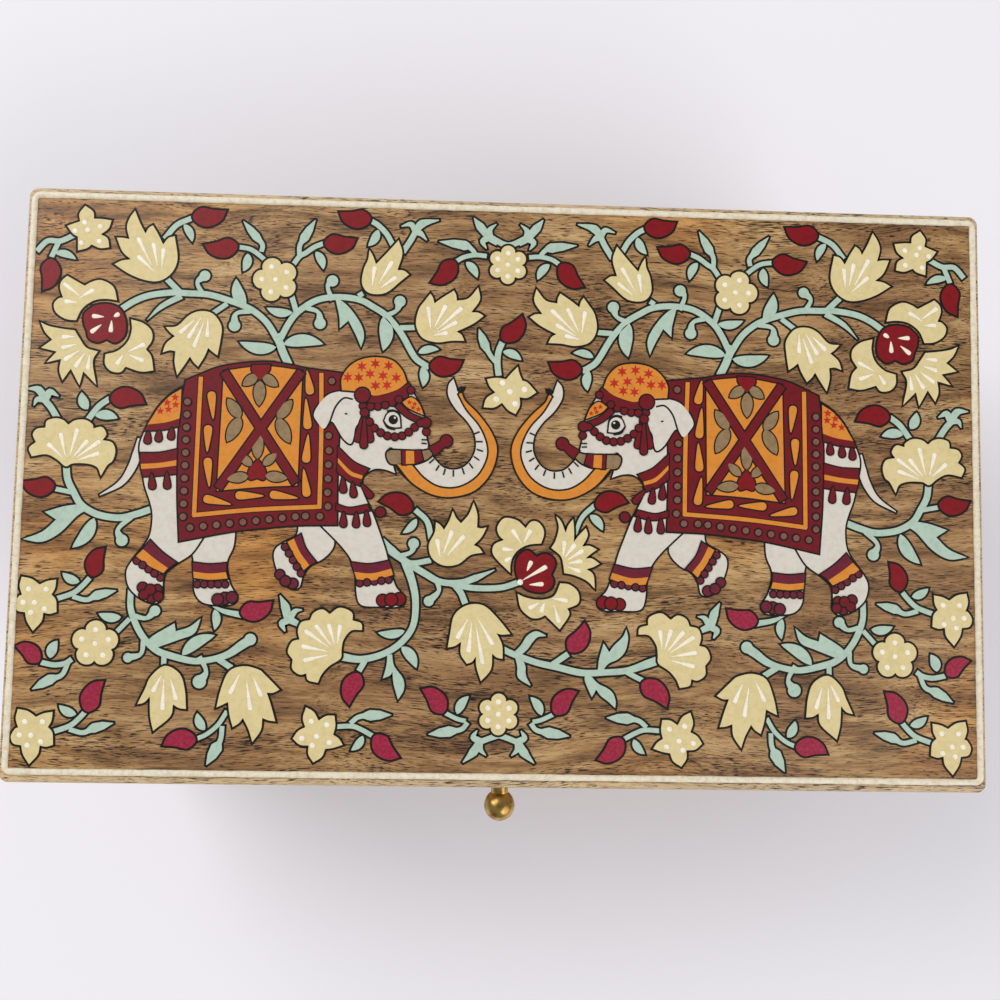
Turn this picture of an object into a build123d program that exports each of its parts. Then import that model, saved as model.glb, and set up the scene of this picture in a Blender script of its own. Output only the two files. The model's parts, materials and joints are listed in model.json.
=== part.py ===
"""Wooden jewelry box with an overhanging hinged lid, lined with velvet and divided into six compartments.

The origin is the middle of the underside. X runs to the right along the front, Y to the back and Z up.
All sizes are in millimetres.
"""

import os

from build123d import *

os.makedirs("parts", exist_ok=True)

# Lid board
lid_length = 254.0
lid_width = 154.0
lid_thickness = 12.0
lid_corner_radius = 2.5
lid_top_round = 0.8
lid_bottom_round = 1.0
lid_overhang = 5.0

# Raised bead round the top of the lid
bead_width = 1.7
bead_height = 0.7
bead_round = 0.6
bead_corner_radius = 2.2
bead_margin_front = 2.0
bead_margin_back = 1.2
bead_margin_side = 0.9

# Walls, with box joints at the four corners
wall_height = 70.0
wall_thickness = 9.0
wall_corner_radius = 1.0
finger_count = 7

# Base board and the felt under it
base_thickness = 6.0
base_overhang = 3.0
base_corner_radius = 2.5
base_top_round = 2.0
base_bottom_round = 1.0
felt_thickness = 1.0
felt_inset = 4.0
felt_corner_radius = 2.0

# Screws that hold the base board to the front and back walls
base_screw_pitch = 90.0
base_screw_head_radius = 2.75
base_screw_shank_radius = 1.4
base_screw_length = 20.0

# Velvet covered card that lines the inside
floor_lining_thickness = 2.0
wall_lining_thickness = 1.5
wall_lining_drop = 3.0
lid_lining_thickness = 1.5
lid_lining_gap = 3.0
lining_round = 0.6
lining_clearance = 0.1

# Dividers, halved together where they cross
divider_thickness = 5.0
divider_height = 35.0
divider_round = 2.0
divider_end_gap = 0.3
halving_clearance = 0.1

# Brass butt hinges, let into the back wall's rim and the lid
hinge_spacing = 140.0
hinge_set_back = 1.0
leaf_length = 25.0
leaf_thickness = 1.0
leaf_gap = 0.1
leaf_fit = 0.1
leaf_front_margin = 1.0
barrel_radius = 2.0
barrel_clearance = 0.3
knuckle_count = 5
knuckle_gap = 0.1
knuckle_plate_gap = 0.2
hinge_pin_radius = 1.0
hinge_pin_clearance = 0.03
hinge_pin_head_radius = 1.4
hinge_pin_head_length = 0.4
leaf_screw_spacing = 15.0
leaf_screw_head_radius = 2.0
leaf_screw_shank_radius = 1.0
leaf_screw_length = 8.0

# Fit of every screw in its hole
screw_clearance = 0.05
hole_end_gap = 0.3

# Turned brass knob on the front edge of the lid, and the stud that holds it
knob_ball_radius = 4.0
knob_projection = 9.75
knob_collar_radius = 2.5
knob_collar_length = 0.9
knob_neck_radius = 2.25
knob_stud_radius = 1.5
knob_stud_in_lid = 10.0
knob_stud_in_knob = 4.0

# Heights of the stacked pieces
base_bottom_z = felt_thickness
wall_bottom_z = base_bottom_z + base_thickness
rim_z = wall_bottom_z + wall_height
lid_top_z = rim_z + lid_thickness
floor_lining_top_z = wall_bottom_z + floor_lining_thickness
finger_height = wall_height / finger_count

# Plan sizes that follow from the lid
body_length = lid_length - 2 * lid_overhang
body_width = lid_width - 2 * lid_overhang
cavity_length = body_length - 2 * wall_thickness
cavity_width = body_width - 2 * wall_thickness
lined_length = cavity_length - 2 * wall_lining_thickness
lined_width = cavity_width - 2 * wall_lining_thickness
end_wall_x = (body_length - wall_thickness) / 2
long_wall_y = (body_width - wall_thickness) / 2

# Hinge axis: along X, level with the rim and just behind the back wall
hinge_y = body_width / 2 + hinge_set_back
leaf_width = hinge_set_back + wall_thickness - leaf_front_margin
leaf_back_y = hinge_y - barrel_radius - knuckle_plate_gap
leaf_front_y = hinge_y - leaf_width
leaf_screw_y = (leaf_front_y + leaf_back_y) / 2
leaf_seat_depth = leaf_gap + leaf_thickness
knuckle_pitch = leaf_length / knuckle_count
hinge_centres = {"left": -hinge_spacing / 2, "right": hinge_spacing / 2}

top_aligned = (Align.CENTER, Align.CENTER, Align.MAX)


def countersunk_screws(head_planes, head_radius, shank_radius, length):
    """One countersunk screw under each plane, whose normal points out of the head."""
    with Locations(*head_planes):
        Cone(shank_radius, head_radius, head_radius - shank_radius, align=top_aligned)
        Cylinder(shank_radius, length, align=top_aligned)


def screw_holes(head_planes, shank_radius, length):
    """One blind clearance hole for each screw, measured from the plane of its head."""
    with Locations(*head_planes):
        Hole(shank_radius + screw_clearance, depth=length + hole_end_gap)


def leaf_screw_planes(hinge_x, side):
    """Planes on the heads of one leaf's screws; side is 1 for the wall's leaf and -1 for the lid's."""
    head_z = rim_z - side * leaf_gap
    offsets = (-leaf_screw_spacing / 2, leaf_screw_spacing / 2)
    return [Plane(origin=(hinge_x + dx, leaf_screw_y, head_z), z_dir=(0, 0, side)) for dx in offsets]


def base_screw_planes(wall_y):
    """Planes on the heads of the base screws under one long wall."""
    columns = (-base_screw_pitch, 0, base_screw_pitch)
    return [Plane(origin=(x, wall_y, base_bottom_z), z_dir=(0, 0, -1)) for x in columns]


def cut_hinge_seats(side):
    """Cut the seat, the barrel's channel and the pilot holes of both hinges; side as above."""
    seat_length = leaf_length + 2 * leaf_fit
    seat_width = leaf_width + leaf_fit
    seat_y = hinge_y - seat_width / 2
    channel_length = leaf_length + 2 * (hinge_pin_head_length + barrel_clearance)
    for hinge_x in hinge_centres.values():
        with Locations((hinge_x, seat_y, rim_z - side * leaf_seat_depth / 2)):
            Box(seat_length, seat_width, leaf_seat_depth, mode=Mode.SUBTRACT)
        with Locations(Plane(origin=(hinge_x, hinge_y, rim_z), z_dir=(1, 0, 0))):
            Cylinder(barrel_radius + barrel_clearance, channel_length, mode=Mode.SUBTRACT)
        screw_holes(leaf_screw_planes(hinge_x, side), leaf_screw_shank_radius, leaf_screw_length)


def cut_fingers(corners, levels):
    """Take out the neighbour's fingers at the given plan corners and finger levels."""
    heights = [wall_bottom_z + (level + 0.5) * finger_height for level in levels]
    with Locations(*[(x, y, z) for x, y in corners for z in heights]):
        Box(wall_thickness, wall_thickness, finger_height, mode=Mode.SUBTRACT)


# Felt glued under the base
with BuildPart() as base_felt:
    with BuildSketch():
        felt_length = body_length + 2 * (base_overhang - felt_inset)
        felt_width = body_width + 2 * (base_overhang - felt_inset)
        RectangleRounded(felt_length, felt_width, felt_corner_radius)
    extrude(amount=felt_thickness)
base_felt.part.label = "base_felt"
export_step(base_felt.part, "parts/base_felt.step")

# Base board, with a rounded edge that stands proud of the walls
with BuildPart() as base_board:
    with BuildSketch(Plane.XY.offset(base_bottom_z)):
        base_length = body_length + 2 * base_overhang
        base_width = body_width + 2 * base_overhang
        RectangleRounded(base_length, base_width, base_corner_radius)
    extrude(amount=base_thickness)
    fillet(base_board.faces().sort_by(Axis.Z)[-1].edges(), min(base_top_round, base_thickness / 2.5))
    fillet(base_board.faces().sort_by(Axis.Z)[0].edges(), min(base_bottom_round, base_thickness / 2.5))
    with Locations(*base_screw_planes(-long_wall_y), *base_screw_planes(long_wall_y)):
        CounterSinkHole(
            radius=base_screw_shank_radius + screw_clearance,
            counter_sink_radius=base_screw_head_radius + screw_clearance,
            depth=base_thickness,
            counter_sink_angle=90,
        )
base_board.part.label = "base_board"
export_step(base_board.part, "parts/base_board.step")

# Screws up through the base into the long walls
with BuildPart() as base_screws:
    countersunk_screws(
        base_screw_planes(-long_wall_y) + base_screw_planes(long_wall_y),
        base_screw_head_radius,
        base_screw_shank_radius,
        base_screw_length,
    )
base_screws.part.label = "base_screws"
export_step(base_screws.part, "parts/base_screws.step")

# Long walls: they keep the even fingers and are notched for the odd ones
with BuildPart() as front_wall:
    with BuildSketch(Plane.XY.offset(wall_bottom_z)):
        with Locations((0, -long_wall_y)):
            front_outline = Rectangle(body_length, wall_thickness)
        fillet(front_outline.vertices().group_by(Axis.Y)[0], wall_corner_radius)
    extrude(amount=wall_height)
    cut_fingers([(-end_wall_x, -long_wall_y), (end_wall_x, -long_wall_y)], range(1, finger_count, 2))
    screw_holes(base_screw_planes(-long_wall_y), base_screw_shank_radius, base_screw_length)
front_wall.part.label = "front_wall"
export_step(front_wall.part, "parts/front_wall.step")

with BuildPart() as back_wall:
    with BuildSketch(Plane.XY.offset(wall_bottom_z)):
        with Locations((0, long_wall_y)):
            back_outline = Rectangle(body_length, wall_thickness)
        fillet(back_outline.vertices().group_by(Axis.Y)[-1], wall_corner_radius)
    extrude(amount=wall_height)
    cut_fingers([(-end_wall_x, long_wall_y), (end_wall_x, long_wall_y)], range(1, finger_count, 2))
    screw_holes(base_screw_planes(long_wall_y), base_screw_shank_radius, base_screw_length)
    cut_hinge_seats(1)
back_wall.part.label = "back_wall"
export_step(back_wall.part, "parts/back_wall.step")

# End walls: they keep the odd fingers and are notched for the even ones
for side_name, side in (("left", -1), ("right", 1)):
    with BuildPart() as end_wall:
        with BuildSketch(Plane.XY.offset(wall_bottom_z)):
            with Locations((side * end_wall_x, 0)):
                end_outline = Rectangle(wall_thickness, body_width)
            outer_corners = end_outline.vertices().group_by(Axis.X)[0 if side < 0 else -1]
            fillet(outer_corners, wall_corner_radius)
        extrude(amount=wall_height)
        end_corners = [(side * end_wall_x, -long_wall_y), (side * end_wall_x, long_wall_y)]
        cut_fingers(end_corners, range(0, finger_count, 2))
    end_wall.part.label = f"{side_name}_wall"
    export_step(end_wall.part, f"parts/{side_name}_wall.step")

# Lid board, with its hinge seats below and the knob's stud hole in its front edge
knob_z = rim_z + lid_thickness / 2
with BuildPart() as lid_board:
    with BuildSketch(Plane.XY.offset(rim_z)):
        RectangleRounded(lid_length, lid_width, lid_corner_radius)
    extrude(amount=lid_thickness)
    fillet(lid_board.faces().sort_by(Axis.Z)[-1].edges(), min(lid_top_round, lid_thickness / 3))
    fillet(lid_board.faces().sort_by(Axis.Z)[0].edges(), min(lid_bottom_round, lid_thickness / 3))
    cut_hinge_seats(-1)
    with Locations(Plane(origin=(0, -lid_width / 2, knob_z), z_dir=(0, -1, 0))):
        Hole(knob_stud_radius + screw_clearance, depth=knob_stud_in_lid + hole_end_gap)
lid_board.part.label = "lid_board"
export_step(lid_board.part, "parts/lid_board.step")

# Raised bead round the lid's top, a little nearer the back edge than the front one
with BuildPart() as lid_edge_bead:
    bead_length = lid_length - 2 * bead_margin_side
    bead_depth = lid_width - bead_margin_front - bead_margin_back
    with BuildSketch(Plane.XY.offset(lid_top_z)):
        with Locations((0, (bead_margin_front - bead_margin_back) / 2)):
            RectangleRounded(bead_length, bead_depth, bead_corner_radius)
            RectangleRounded(
                bead_length - 2 * bead_width,
                bead_depth - 2 * bead_width,
                max(bead_corner_radius - bead_width, 0.2),
                mode=Mode.SUBTRACT,
            )
    extrude(amount=bead_height)
    bead_top = lid_edge_bead.faces().sort_by(Axis.Z)[-1]
    fillet(bead_top.edges(), min(bead_round, 0.4 * bead_width, 0.9 * bead_height))
lid_edge_bead.part.label = "lid_edge_bead"
export_step(lid_edge_bead.part, "parts/lid_edge_bead.step")

# Turned knob: collar, neck and ball, bored for its stud
knob_plane = Plane(origin=(0, -lid_width / 2, knob_z), x_dir=(1, 0, 0), z_dir=(0, 0, -1))
ball_centre = knob_projection - knob_ball_radius
ball_start = ball_centre - (knob_ball_radius**2 - knob_neck_radius**2) ** 0.5
with BuildPart() as lid_knob:
    with BuildSketch(knob_plane):
        with BuildLine():
            bore_radius = knob_stud_radius + screw_clearance
            bore_depth = knob_stud_in_knob + hole_end_gap
            Polyline(
                (0, bore_depth),
                (bore_radius, bore_depth),
                (bore_radius, 0),
                (knob_collar_radius, 0),
                (knob_collar_radius, knob_collar_length),
                (knob_neck_radius, knob_collar_length),
                (knob_neck_radius, ball_start),
            )
            widest = (knob_ball_radius, ball_centre)
            ThreePointArc((knob_neck_radius, ball_start), widest, (0, knob_projection))
            Line((0, knob_projection), (0, bore_depth))
        make_face()
    revolve(axis=Axis(knob_plane.origin, (0, -1, 0)))
lid_knob.part.label = "lid_knob"
export_step(lid_knob.part, "parts/lid_knob.step")

# Stud that joins the knob to the lid
with BuildPart() as knob_stud:
    stud_end_y = -lid_width / 2 + knob_stud_in_lid
    with BuildSketch(Plane(origin=(0, stud_end_y, knob_z), z_dir=(0, -1, 0))):
        Circle(knob_stud_radius)
    extrude(amount=knob_stud_in_lid + knob_stud_in_knob)
    chamfer(knob_stud.edges(), knob_stud_radius / 5)
knob_stud.part.label = "knob_stud"
export_step(knob_stud.part, "parts/knob_stud.step")


def knuckles(hinge_x, numbers, side):
    """Barrel knuckles of one leaf, each with the web that joins it to the leaf's plate."""
    web_width = hinge_y - leaf_back_y
    web_z = rim_z - side * (leaf_gap + leaf_thickness / 2)
    for number in numbers:
        start_x = hinge_x - leaf_length / 2 + number * knuckle_pitch + knuckle_gap / 2
        with BuildSketch(Plane.YZ.offset(start_x)) as knuckle:
            with Locations((hinge_y - web_width / 2, web_z)):
                Rectangle(web_width, leaf_thickness)
            with Locations((hinge_y, rim_z)):
                Circle(barrel_radius)
                Circle(hinge_pin_radius + hinge_pin_clearance, mode=Mode.SUBTRACT)
        extrude(knuckle.sketch, amount=knuckle_pitch - knuckle_gap)


# Two butt hinges: the wall's leaf carries the outer knuckles, the lid's leaf the ones between
for side_name, hinge_x in hinge_centres.items():
    leaves = (("body", 1, range(0, knuckle_count, 2)), ("lid", -1, range(1, knuckle_count, 2)))
    for leaf_name, side, numbers in leaves:
        with BuildPart() as hinge_leaf:
            plate_z = rim_z - side * (leaf_gap + leaf_thickness / 2)
            with Locations((hinge_x, (leaf_front_y + leaf_back_y) / 2, plate_z)):
                Box(leaf_length, leaf_back_y - leaf_front_y, leaf_thickness)
            with Locations(*leaf_screw_planes(hinge_x, side)):
                CounterSinkHole(
                    radius=leaf_screw_shank_radius + screw_clearance,
                    counter_sink_radius=leaf_screw_head_radius + screw_clearance,
                    depth=leaf_thickness,
                    counter_sink_angle=90,
                )
            knuckles(hinge_x, numbers, side)
        hinge_leaf.part.label = f"{side_name}_hinge_{leaf_name}_leaf"
        export_step(hinge_leaf.part, f"parts/{side_name}_hinge_{leaf_name}_leaf.step")

    # Hinge pin, with a small head at each end of the barrel
    with BuildPart() as hinge_pin:
        pin_length = leaf_length + 2 * hinge_pin_head_length
        with BuildSketch(Plane.YZ.offset(hinge_x - pin_length / 2)):
            with Locations((hinge_y, rim_z)):
                Circle(hinge_pin_radius)
        extrude(amount=pin_length)
        for head_x in (hinge_x - pin_length / 2, hinge_x + leaf_length / 2):
            with BuildSketch(Plane.YZ.offset(head_x)):
                with Locations((hinge_y, rim_z)):
                    Circle(hinge_pin_head_radius)
            extrude(amount=hinge_pin_head_length)
    hinge_pin.part.label = f"{side_name}_hinge_pin"
    export_step(hinge_pin.part, f"parts/{side_name}_hinge_pin.step")

# Screws of the hinge leaves, four into the back wall and four into the lid
for leaf_name, side in (("body", 1), ("lid", -1)):
    with BuildPart() as hinge_screws:
        countersunk_screws(
            [plane for x in hinge_centres.values() for plane in leaf_screw_planes(x, side)],
            leaf_screw_head_radius,
            leaf_screw_shank_radius,
            leaf_screw_length,
        )
    hinge_screws.part.label = f"hinge_{leaf_name}_screws"
    export_step(hinge_screws.part, f"parts/hinge_{leaf_name}_screws.step")

# Lining of the floor
with BuildPart() as floor_lining:
    with BuildSketch(Plane.XY.offset(wall_bottom_z)):
        Rectangle(cavity_length - 2 * lining_clearance, cavity_width - 2 * lining_clearance)
    extrude(amount=floor_lining_thickness)
floor_lining.part.label = "floor_lining"
export_step(floor_lining.part, "parts/floor_lining.step")

# Linings of the walls: the long ones run full length and the end ones fit between them
wall_lining_height = rim_z - wall_lining_drop - floor_lining_top_z
long_lining_length = cavity_length - 2 * lining_clearance
end_lining_width = lined_width - 2 * lining_clearance
long_lining_y = (cavity_width - wall_lining_thickness) / 2
end_lining_x = (cavity_length - wall_lining_thickness) / 2
wall_linings = {
    "front": (0, -long_lining_y, long_lining_length, wall_lining_thickness),
    "back": (0, long_lining_y, long_lining_length, wall_lining_thickness),
    "left": (-end_lining_x, 0, wall_lining_thickness, end_lining_width),
    "right": (end_lining_x, 0, wall_lining_thickness, end_lining_width),
}
for side_name, (x, y, size_x, size_y) in wall_linings.items():
    with BuildPart() as wall_lining:
        with BuildSketch(Plane.XY.offset(floor_lining_top_z)):
            with Locations((x, y)):
                Rectangle(size_x, size_y)
        extrude(amount=wall_lining_height)
        lining_top = wall_lining.faces().sort_by(Axis.Z)[-1]
        fillet(lining_top.edges(), min(lining_round, 0.4 * wall_lining_thickness))
    wall_lining.part.label = f"{side_name}_wall_lining"
    export_step(wall_lining.part, f"parts/{side_name}_wall_lining.step")

# Lining of the lid: it hangs just inside the rim, clear of the wall linings as the lid turns
with BuildPart() as lid_lining:
    with BuildSketch(Plane.XY.offset(rim_z - lid_lining_thickness)):
        Rectangle(cavity_length - 2 * lid_lining_gap, cavity_width - 2 * lid_lining_gap)
    extrude(amount=lid_lining_thickness)
    lid_lining_face = lid_lining.faces().sort_by(Axis.Z)[0]
    fillet(lid_lining_face.edges(), min(lining_round, 0.4 * lid_lining_thickness))
lid_lining.part.label = "lid_lining"
export_step(lid_lining.part, "parts/lid_lining.step")

# Dividers with rounded tops: slots from above in the long one, from below in the two short ones
divider_pitch = (lined_length + divider_thickness) / 3
divider_columns = {"left": -divider_pitch / 2, "right": divider_pitch / 2}
slot_width = divider_thickness + 2 * halving_clearance
slot_middle_z = floor_lining_top_z + divider_height / 2
with BuildPart() as long_divider:
    with BuildSketch(Plane.XY.offset(floor_lining_top_z)):
        Rectangle(lined_length - 2 * divider_end_gap, divider_thickness)
    extrude(amount=divider_height)
    long_top = long_divider.faces().sort_by(Axis.Z)[-1]
    fillet(long_top.edges().filter_by(Axis.X), min(divider_round, 0.45 * divider_thickness))
    with Locations(*[(x, 0, slot_middle_z + divider_height / 4) for x in divider_columns.values()]):
        Box(slot_width, slot_width, divider_height / 2, mode=Mode.SUBTRACT)
long_divider.part.label = "long_divider"
export_step(long_divider.part, "parts/long_divider.step")

for side_name, x in divider_columns.items():
    with BuildPart() as cross_divider:
        with BuildSketch(Plane.XY.offset(floor_lining_top_z)):
            with Locations((x, 0)):
                Rectangle(divider_thickness, lined_width - 2 * divider_end_gap)
        extrude(amount=divider_height)
        cross_top = cross_divider.faces().sort_by(Axis.Z)[-1]
        fillet(cross_top.edges().filter_by(Axis.Y), min(divider_round, 0.45 * divider_thickness))
        with Locations((x, 0, slot_middle_z - divider_height / 4)):
            Box(slot_width, slot_width, divider_height / 2, mode=Mode.SUBTRACT)
    cross_divider.part.label = f"{side_name}_cross_divider"
    export_step(cross_divider.part, f"parts/{side_name}_cross_divider.step")
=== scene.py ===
import json
import math

import bpy
import numpy as np
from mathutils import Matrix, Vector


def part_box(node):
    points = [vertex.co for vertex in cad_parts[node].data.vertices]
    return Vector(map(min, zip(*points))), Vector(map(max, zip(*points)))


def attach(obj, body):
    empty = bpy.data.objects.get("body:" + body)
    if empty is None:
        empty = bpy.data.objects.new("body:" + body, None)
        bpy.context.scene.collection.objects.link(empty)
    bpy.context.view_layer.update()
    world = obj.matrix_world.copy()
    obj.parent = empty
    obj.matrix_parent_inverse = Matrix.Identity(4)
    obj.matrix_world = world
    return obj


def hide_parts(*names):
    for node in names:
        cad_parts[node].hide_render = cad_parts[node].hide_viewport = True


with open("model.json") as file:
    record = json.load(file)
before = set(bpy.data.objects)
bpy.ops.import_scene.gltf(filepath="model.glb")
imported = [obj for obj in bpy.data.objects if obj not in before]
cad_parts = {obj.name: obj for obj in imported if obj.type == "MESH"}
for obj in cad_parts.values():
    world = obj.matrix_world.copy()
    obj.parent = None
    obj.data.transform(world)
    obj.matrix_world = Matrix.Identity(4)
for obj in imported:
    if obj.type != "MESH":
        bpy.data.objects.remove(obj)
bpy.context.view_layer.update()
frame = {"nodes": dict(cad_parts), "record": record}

# A wooden jewelry box: lacquered lid with painted creepers and a pair of caparisoned elephants.
# Plane figures of the painting are in millimetres on the lid, x to the right, y to the hinges.
MM = 0.001
LID_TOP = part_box("lid_board")[1].z / MM
# the x of a point and of its mirror image add up to this, as the painting's middle lies left of the lid's
MIRROR_SUM = -1.3
# marks a point of an outline as a corner
S = "sharp"
# a coat of paint, the rise from one level of paint to the next, and how far the black lines stand over theirs
COAT = 0.03
LEVEL = 2 * COAT
INK_LIFT = COAT / 2
# shapes on one level part by a hair in height, over and over, so that no two faces lie in one plane
STEP, STEPS = 0.0016, 17
# width of a black line outside its shape, and the share of it that lies inside as well
INK, INK_INSIDE = 0.56, 0.6
# the white drops: their height, the level they rise from, and the radii of a drop's head and of a dot
DROP_HEIGHT, DROP_LEVEL = 0.2, 1.8
DROP, DOT = 0.8, 0.75


# Colour and shader helpers


def linear(code):
    """A colour written as sRGB hex, as linear red, green, blue and alpha."""
    parts = [int(code[i:i + 2], 16) / 255 for i in (1, 3, 5)]
    return (*[c / 12.92 if c <= 0.04045 else ((c + 0.055) / 1.055) ** 2.4 for c in parts], 1.0)


def add(tree, kind, sockets=None, **settings):
    """One shader node: settings are its properties, and sockets maps an input to a value or an output."""
    made = tree.nodes.new(kind)
    for name, value in settings.items():
        setattr(made, name, value)
    for name, value in (sockets or {}).items():
        if isinstance(value, bpy.types.NodeSocket):
            tree.links.new(value, made.inputs[name])
        else:
            made.inputs[name].default_value = value
    return made


def ramp(tree, source, stops):
    """A Color Ramp node through (place, hex colour) stops, read at source."""
    made = add(tree, "ShaderNodeValToRGB", {"Fac": source})
    band = made.color_ramp
    while len(band.elements) < len(stops):
        band.elements.new(0.5)
    for element, (place, code) in zip(band.elements, stops):
        element.position = place
        element.color = linear(code)
    return made.outputs["Color"]


def new_material(name):
    """An empty material with its Principled shader, as (material, tree, shader)."""
    material = bpy.data.materials.new(name)
    material.use_nodes = True
    tree = material.node_tree
    shader = tree.nodes["Principled BSDF"]
    return material, tree, shader


def millimetres(tree, stretch=(1, 1, 1)):
    """Object coordinates in millimetres, drawn out along an axis where stretch is small."""
    place = add(tree, "ShaderNodeTexCoord")
    scale = [1000 * s for s in stretch]
    mapped = add(tree, "ShaderNodeMapping", {"Vector": place.outputs["Object"], "Scale": scale})
    return mapped.outputs["Vector"]


def blend(tree, first, second, share, kind="MIX"):
    """The first colour with the second laid over it, or multiplied into it, by share."""
    # a Mix node's factor is input 0, its colours are inputs 6 and 7, and its colour comes out at output 2
    made = add(tree, "ShaderNodeMix", {0: share, 6: first, 7: second}, data_type="RGBA", blend_type=kind)
    return made.outputs[2]


def bump(tree, shader, height, distance_mm, strength=1.0):
    """Relief from a 0 to 1 height, distance_mm deep."""
    made = add(tree, "ShaderNodeBump", {"Height": height, "Distance": distance_mm * MM, "Strength": strength})
    tree.links.new(made.outputs["Normal"], shader.inputs["Normal"])


# Materials


def lacquered_wood(name, tones, grain="X", gloss=0.38, rim=0.0):
    """Mango wood, planed, sanded and lacquered: its growth layers wander, open pores lie along them as short dark
    dashes, and a thin satin film covers it. Where rim is above 0 the edges and the strip outside the bead are painted
    paler, a painted highlight."""
    material, tree, shader = new_material(name)
    axis = "XYZ".index(grain)

    # the layers wander across their run by 11 mm times a noise of -0.5 to 0.5
    sideways = [0.0 if k == axis else 11.0 for k in range(3)]

    def grained(share):
        """Millimetres moved sideways by the wandering and drawn out along the grain by 1 / share."""
        wander = add(tree, "ShaderNodeTexNoise", {"Vector": millimetres(tree), "Scale": 0.016, "Detail": 2.0})
        centred = add(tree, "ShaderNodeVectorMath", {0: wander.outputs["Color"], 1: (0.5, 0.5, 0.5)},
                      operation="SUBTRACT")
        side = add(tree, "ShaderNodeVectorMath", {0: centred.outputs[0], 1: sideways}, operation="MULTIPLY")
        moved = add(tree, "ShaderNodeVectorMath", {0: millimetres(tree), 1: side.outputs[0]}, operation="ADD")
        stretch = [share if k == axis else 1.0 for k in range(3)]
        drawn = add(tree, "ShaderNodeVectorMath", {0: moved.outputs[0], 1: stretch}, operation="MULTIPLY")
        return drawn.outputs[0]

    broad = grained(0.13)
    threads = grained(0.075)
    # growth layers stand 4 to 8 mm apart
    layers = add(tree, "ShaderNodeTexNoise", {
        "Vector": broad, "Scale": 0.22, "Detail": 6.0, "Roughness": 0.62, "Distortion": 0.6})
    base = ramp(tree, layers.outputs["Fac"], tones)
    # broad greyer and warmer patches, some 70 mm across
    patches = add(tree, "ShaderNodeTexNoise", {"Vector": millimetres(tree), "Scale": 0.014, "Detail": 2.0})
    base = blend(tree, base, ramp(tree, patches.outputs["Fac"], [
        (0.36, "#e4dcdc"), (0.50, "#ffffff"), (0.64, "#ffe2b4")]), 1.0, "MULTIPLY")
    if rim:
        # painted highlight: paler wholly where the normal's upright part is under 0.75, and not at all above 0.98
        facing = add(tree, "ShaderNodeTexCoord")
        parts = add(tree, "ShaderNodeSeparateXYZ", {0: facing.outputs["Normal"]})
        level = add(tree, "ShaderNodeMath", {0: parts.outputs["Z"]}, operation="ABSOLUTE")
        rounded = add(tree, "ShaderNodeMapRange", {
            "Value": level.outputs[0], "From Min": 0.75, "From Max": 0.98, "To Min": rim, "To Max": 0.0})
        # the strip outside the bead gets the painted highlight too, beyond 125.2 mm from the middle sideways or 75 mm
        # front to back
        spot = add(tree, "ShaderNodeSeparateXYZ", {0: millimetres(tree)})
        edge_highlight = rounded.outputs[0]
        for direction, bound in (("X", 125.2), ("Y", 75.0)):
            far = add(tree, "ShaderNodeMath", {0: spot.outputs[direction]}, operation="ABSOLUTE")
            beyond = add(tree, "ShaderNodeMapRange", {
                "Value": far.outputs[0], "From Min": bound, "From Max": bound + 0.3, "To Min": 0.0, "To Max": rim})
            edge_highlight = add(tree, "ShaderNodeMath", {0: edge_highlight, 1: beyond.outputs[0]}, operation="MAXIMUM").outputs[0]
        # the pale colour of the painted highlight on the edges
        base = blend(tree, base, linear("#dcc6a0"), edge_highlight)
    # single fibres are some 0.3 mm wide, drawn a little coarser so that they show
    fibres = add(tree, "ShaderNodeTexNoise", {"Vector": threads, "Scale": 2.4, "Detail": 4.0, "Roughness": 0.75})
    base = blend(tree, base, ramp(tree, fibres.outputs["Fac"], [
        (0.30, "#9c8c7c"), (0.50, "#f4f0ea"), (0.70, "#ffffff")]), 0.9, "MULTIPLY")
    # open pores: dashes some 3 mm long and 0.25 mm wide, thicker in some growth layers
    pores = add(tree, "ShaderNodeTexNoise", {"Vector": threads, "Scale": 4.2, "Detail": 2.0, "Roughness": 0.5})
    crowd = add(tree, "ShaderNodeTexNoise", {"Vector": broad, "Scale": 0.16, "Detail": 4.0})
    lean = add(tree, "ShaderNodeMath", {0: crowd.outputs["Fac"], 1: 0.4, 2: pores.outputs["Fac"]},
               operation="MULTIPLY_ADD")
    base = blend(tree, base, ramp(tree, lean.outputs[0], [(0.55, "#3a2c20"), (0.65, "#ffffff")]), 1.0, "MULTIPLY")
    tree.links.new(base, shader.inputs["Base Color"])
    rough = add(tree, "ShaderNodeMapRange", {"Value": fibres.outputs["Fac"], "To Min": gloss + 0.14, "To Max": gloss})
    tree.links.new(rough.outputs[0], shader.inputs["Roughness"])
    shader.inputs["IOR"].default_value = 1.45
    shader.inputs["Coat Weight"].default_value = 0.15
    shader.inputs["Coat Roughness"].default_value = 0.25
    bump(tree, shader, lean.outputs[0], 0.1, 0.4)
    return material


def enamel(name, code, deep, rough=0.5, depth_mm=0.05, mottle_mm=1.6):
    """Brushed enamel paint: an even colour that thins a little where the brush lifted, on a faintly rough film."""
    material, tree, shader = new_material(name)
    spot = millimetres(tree)
    thin = add(tree, "ShaderNodeTexNoise", {"Vector": spot, "Scale": 1 / mottle_mm, "Detail": 5.0, "Roughness": 0.7})
    tree.links.new(ramp(tree, thin.outputs["Fac"], [(0.34, deep), (0.56, code)]), shader.inputs["Base Color"])
    grit = add(tree, "ShaderNodeTexNoise", {"Vector": spot, "Scale": 2.6, "Detail": 4.0, "Roughness": 0.6})
    shader.inputs["Roughness"].default_value = rough
    shader.inputs["IOR"].default_value = 1.38
    bump(tree, shader, grit.outputs["Fac"], depth_mm, 0.5)
    return material


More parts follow.
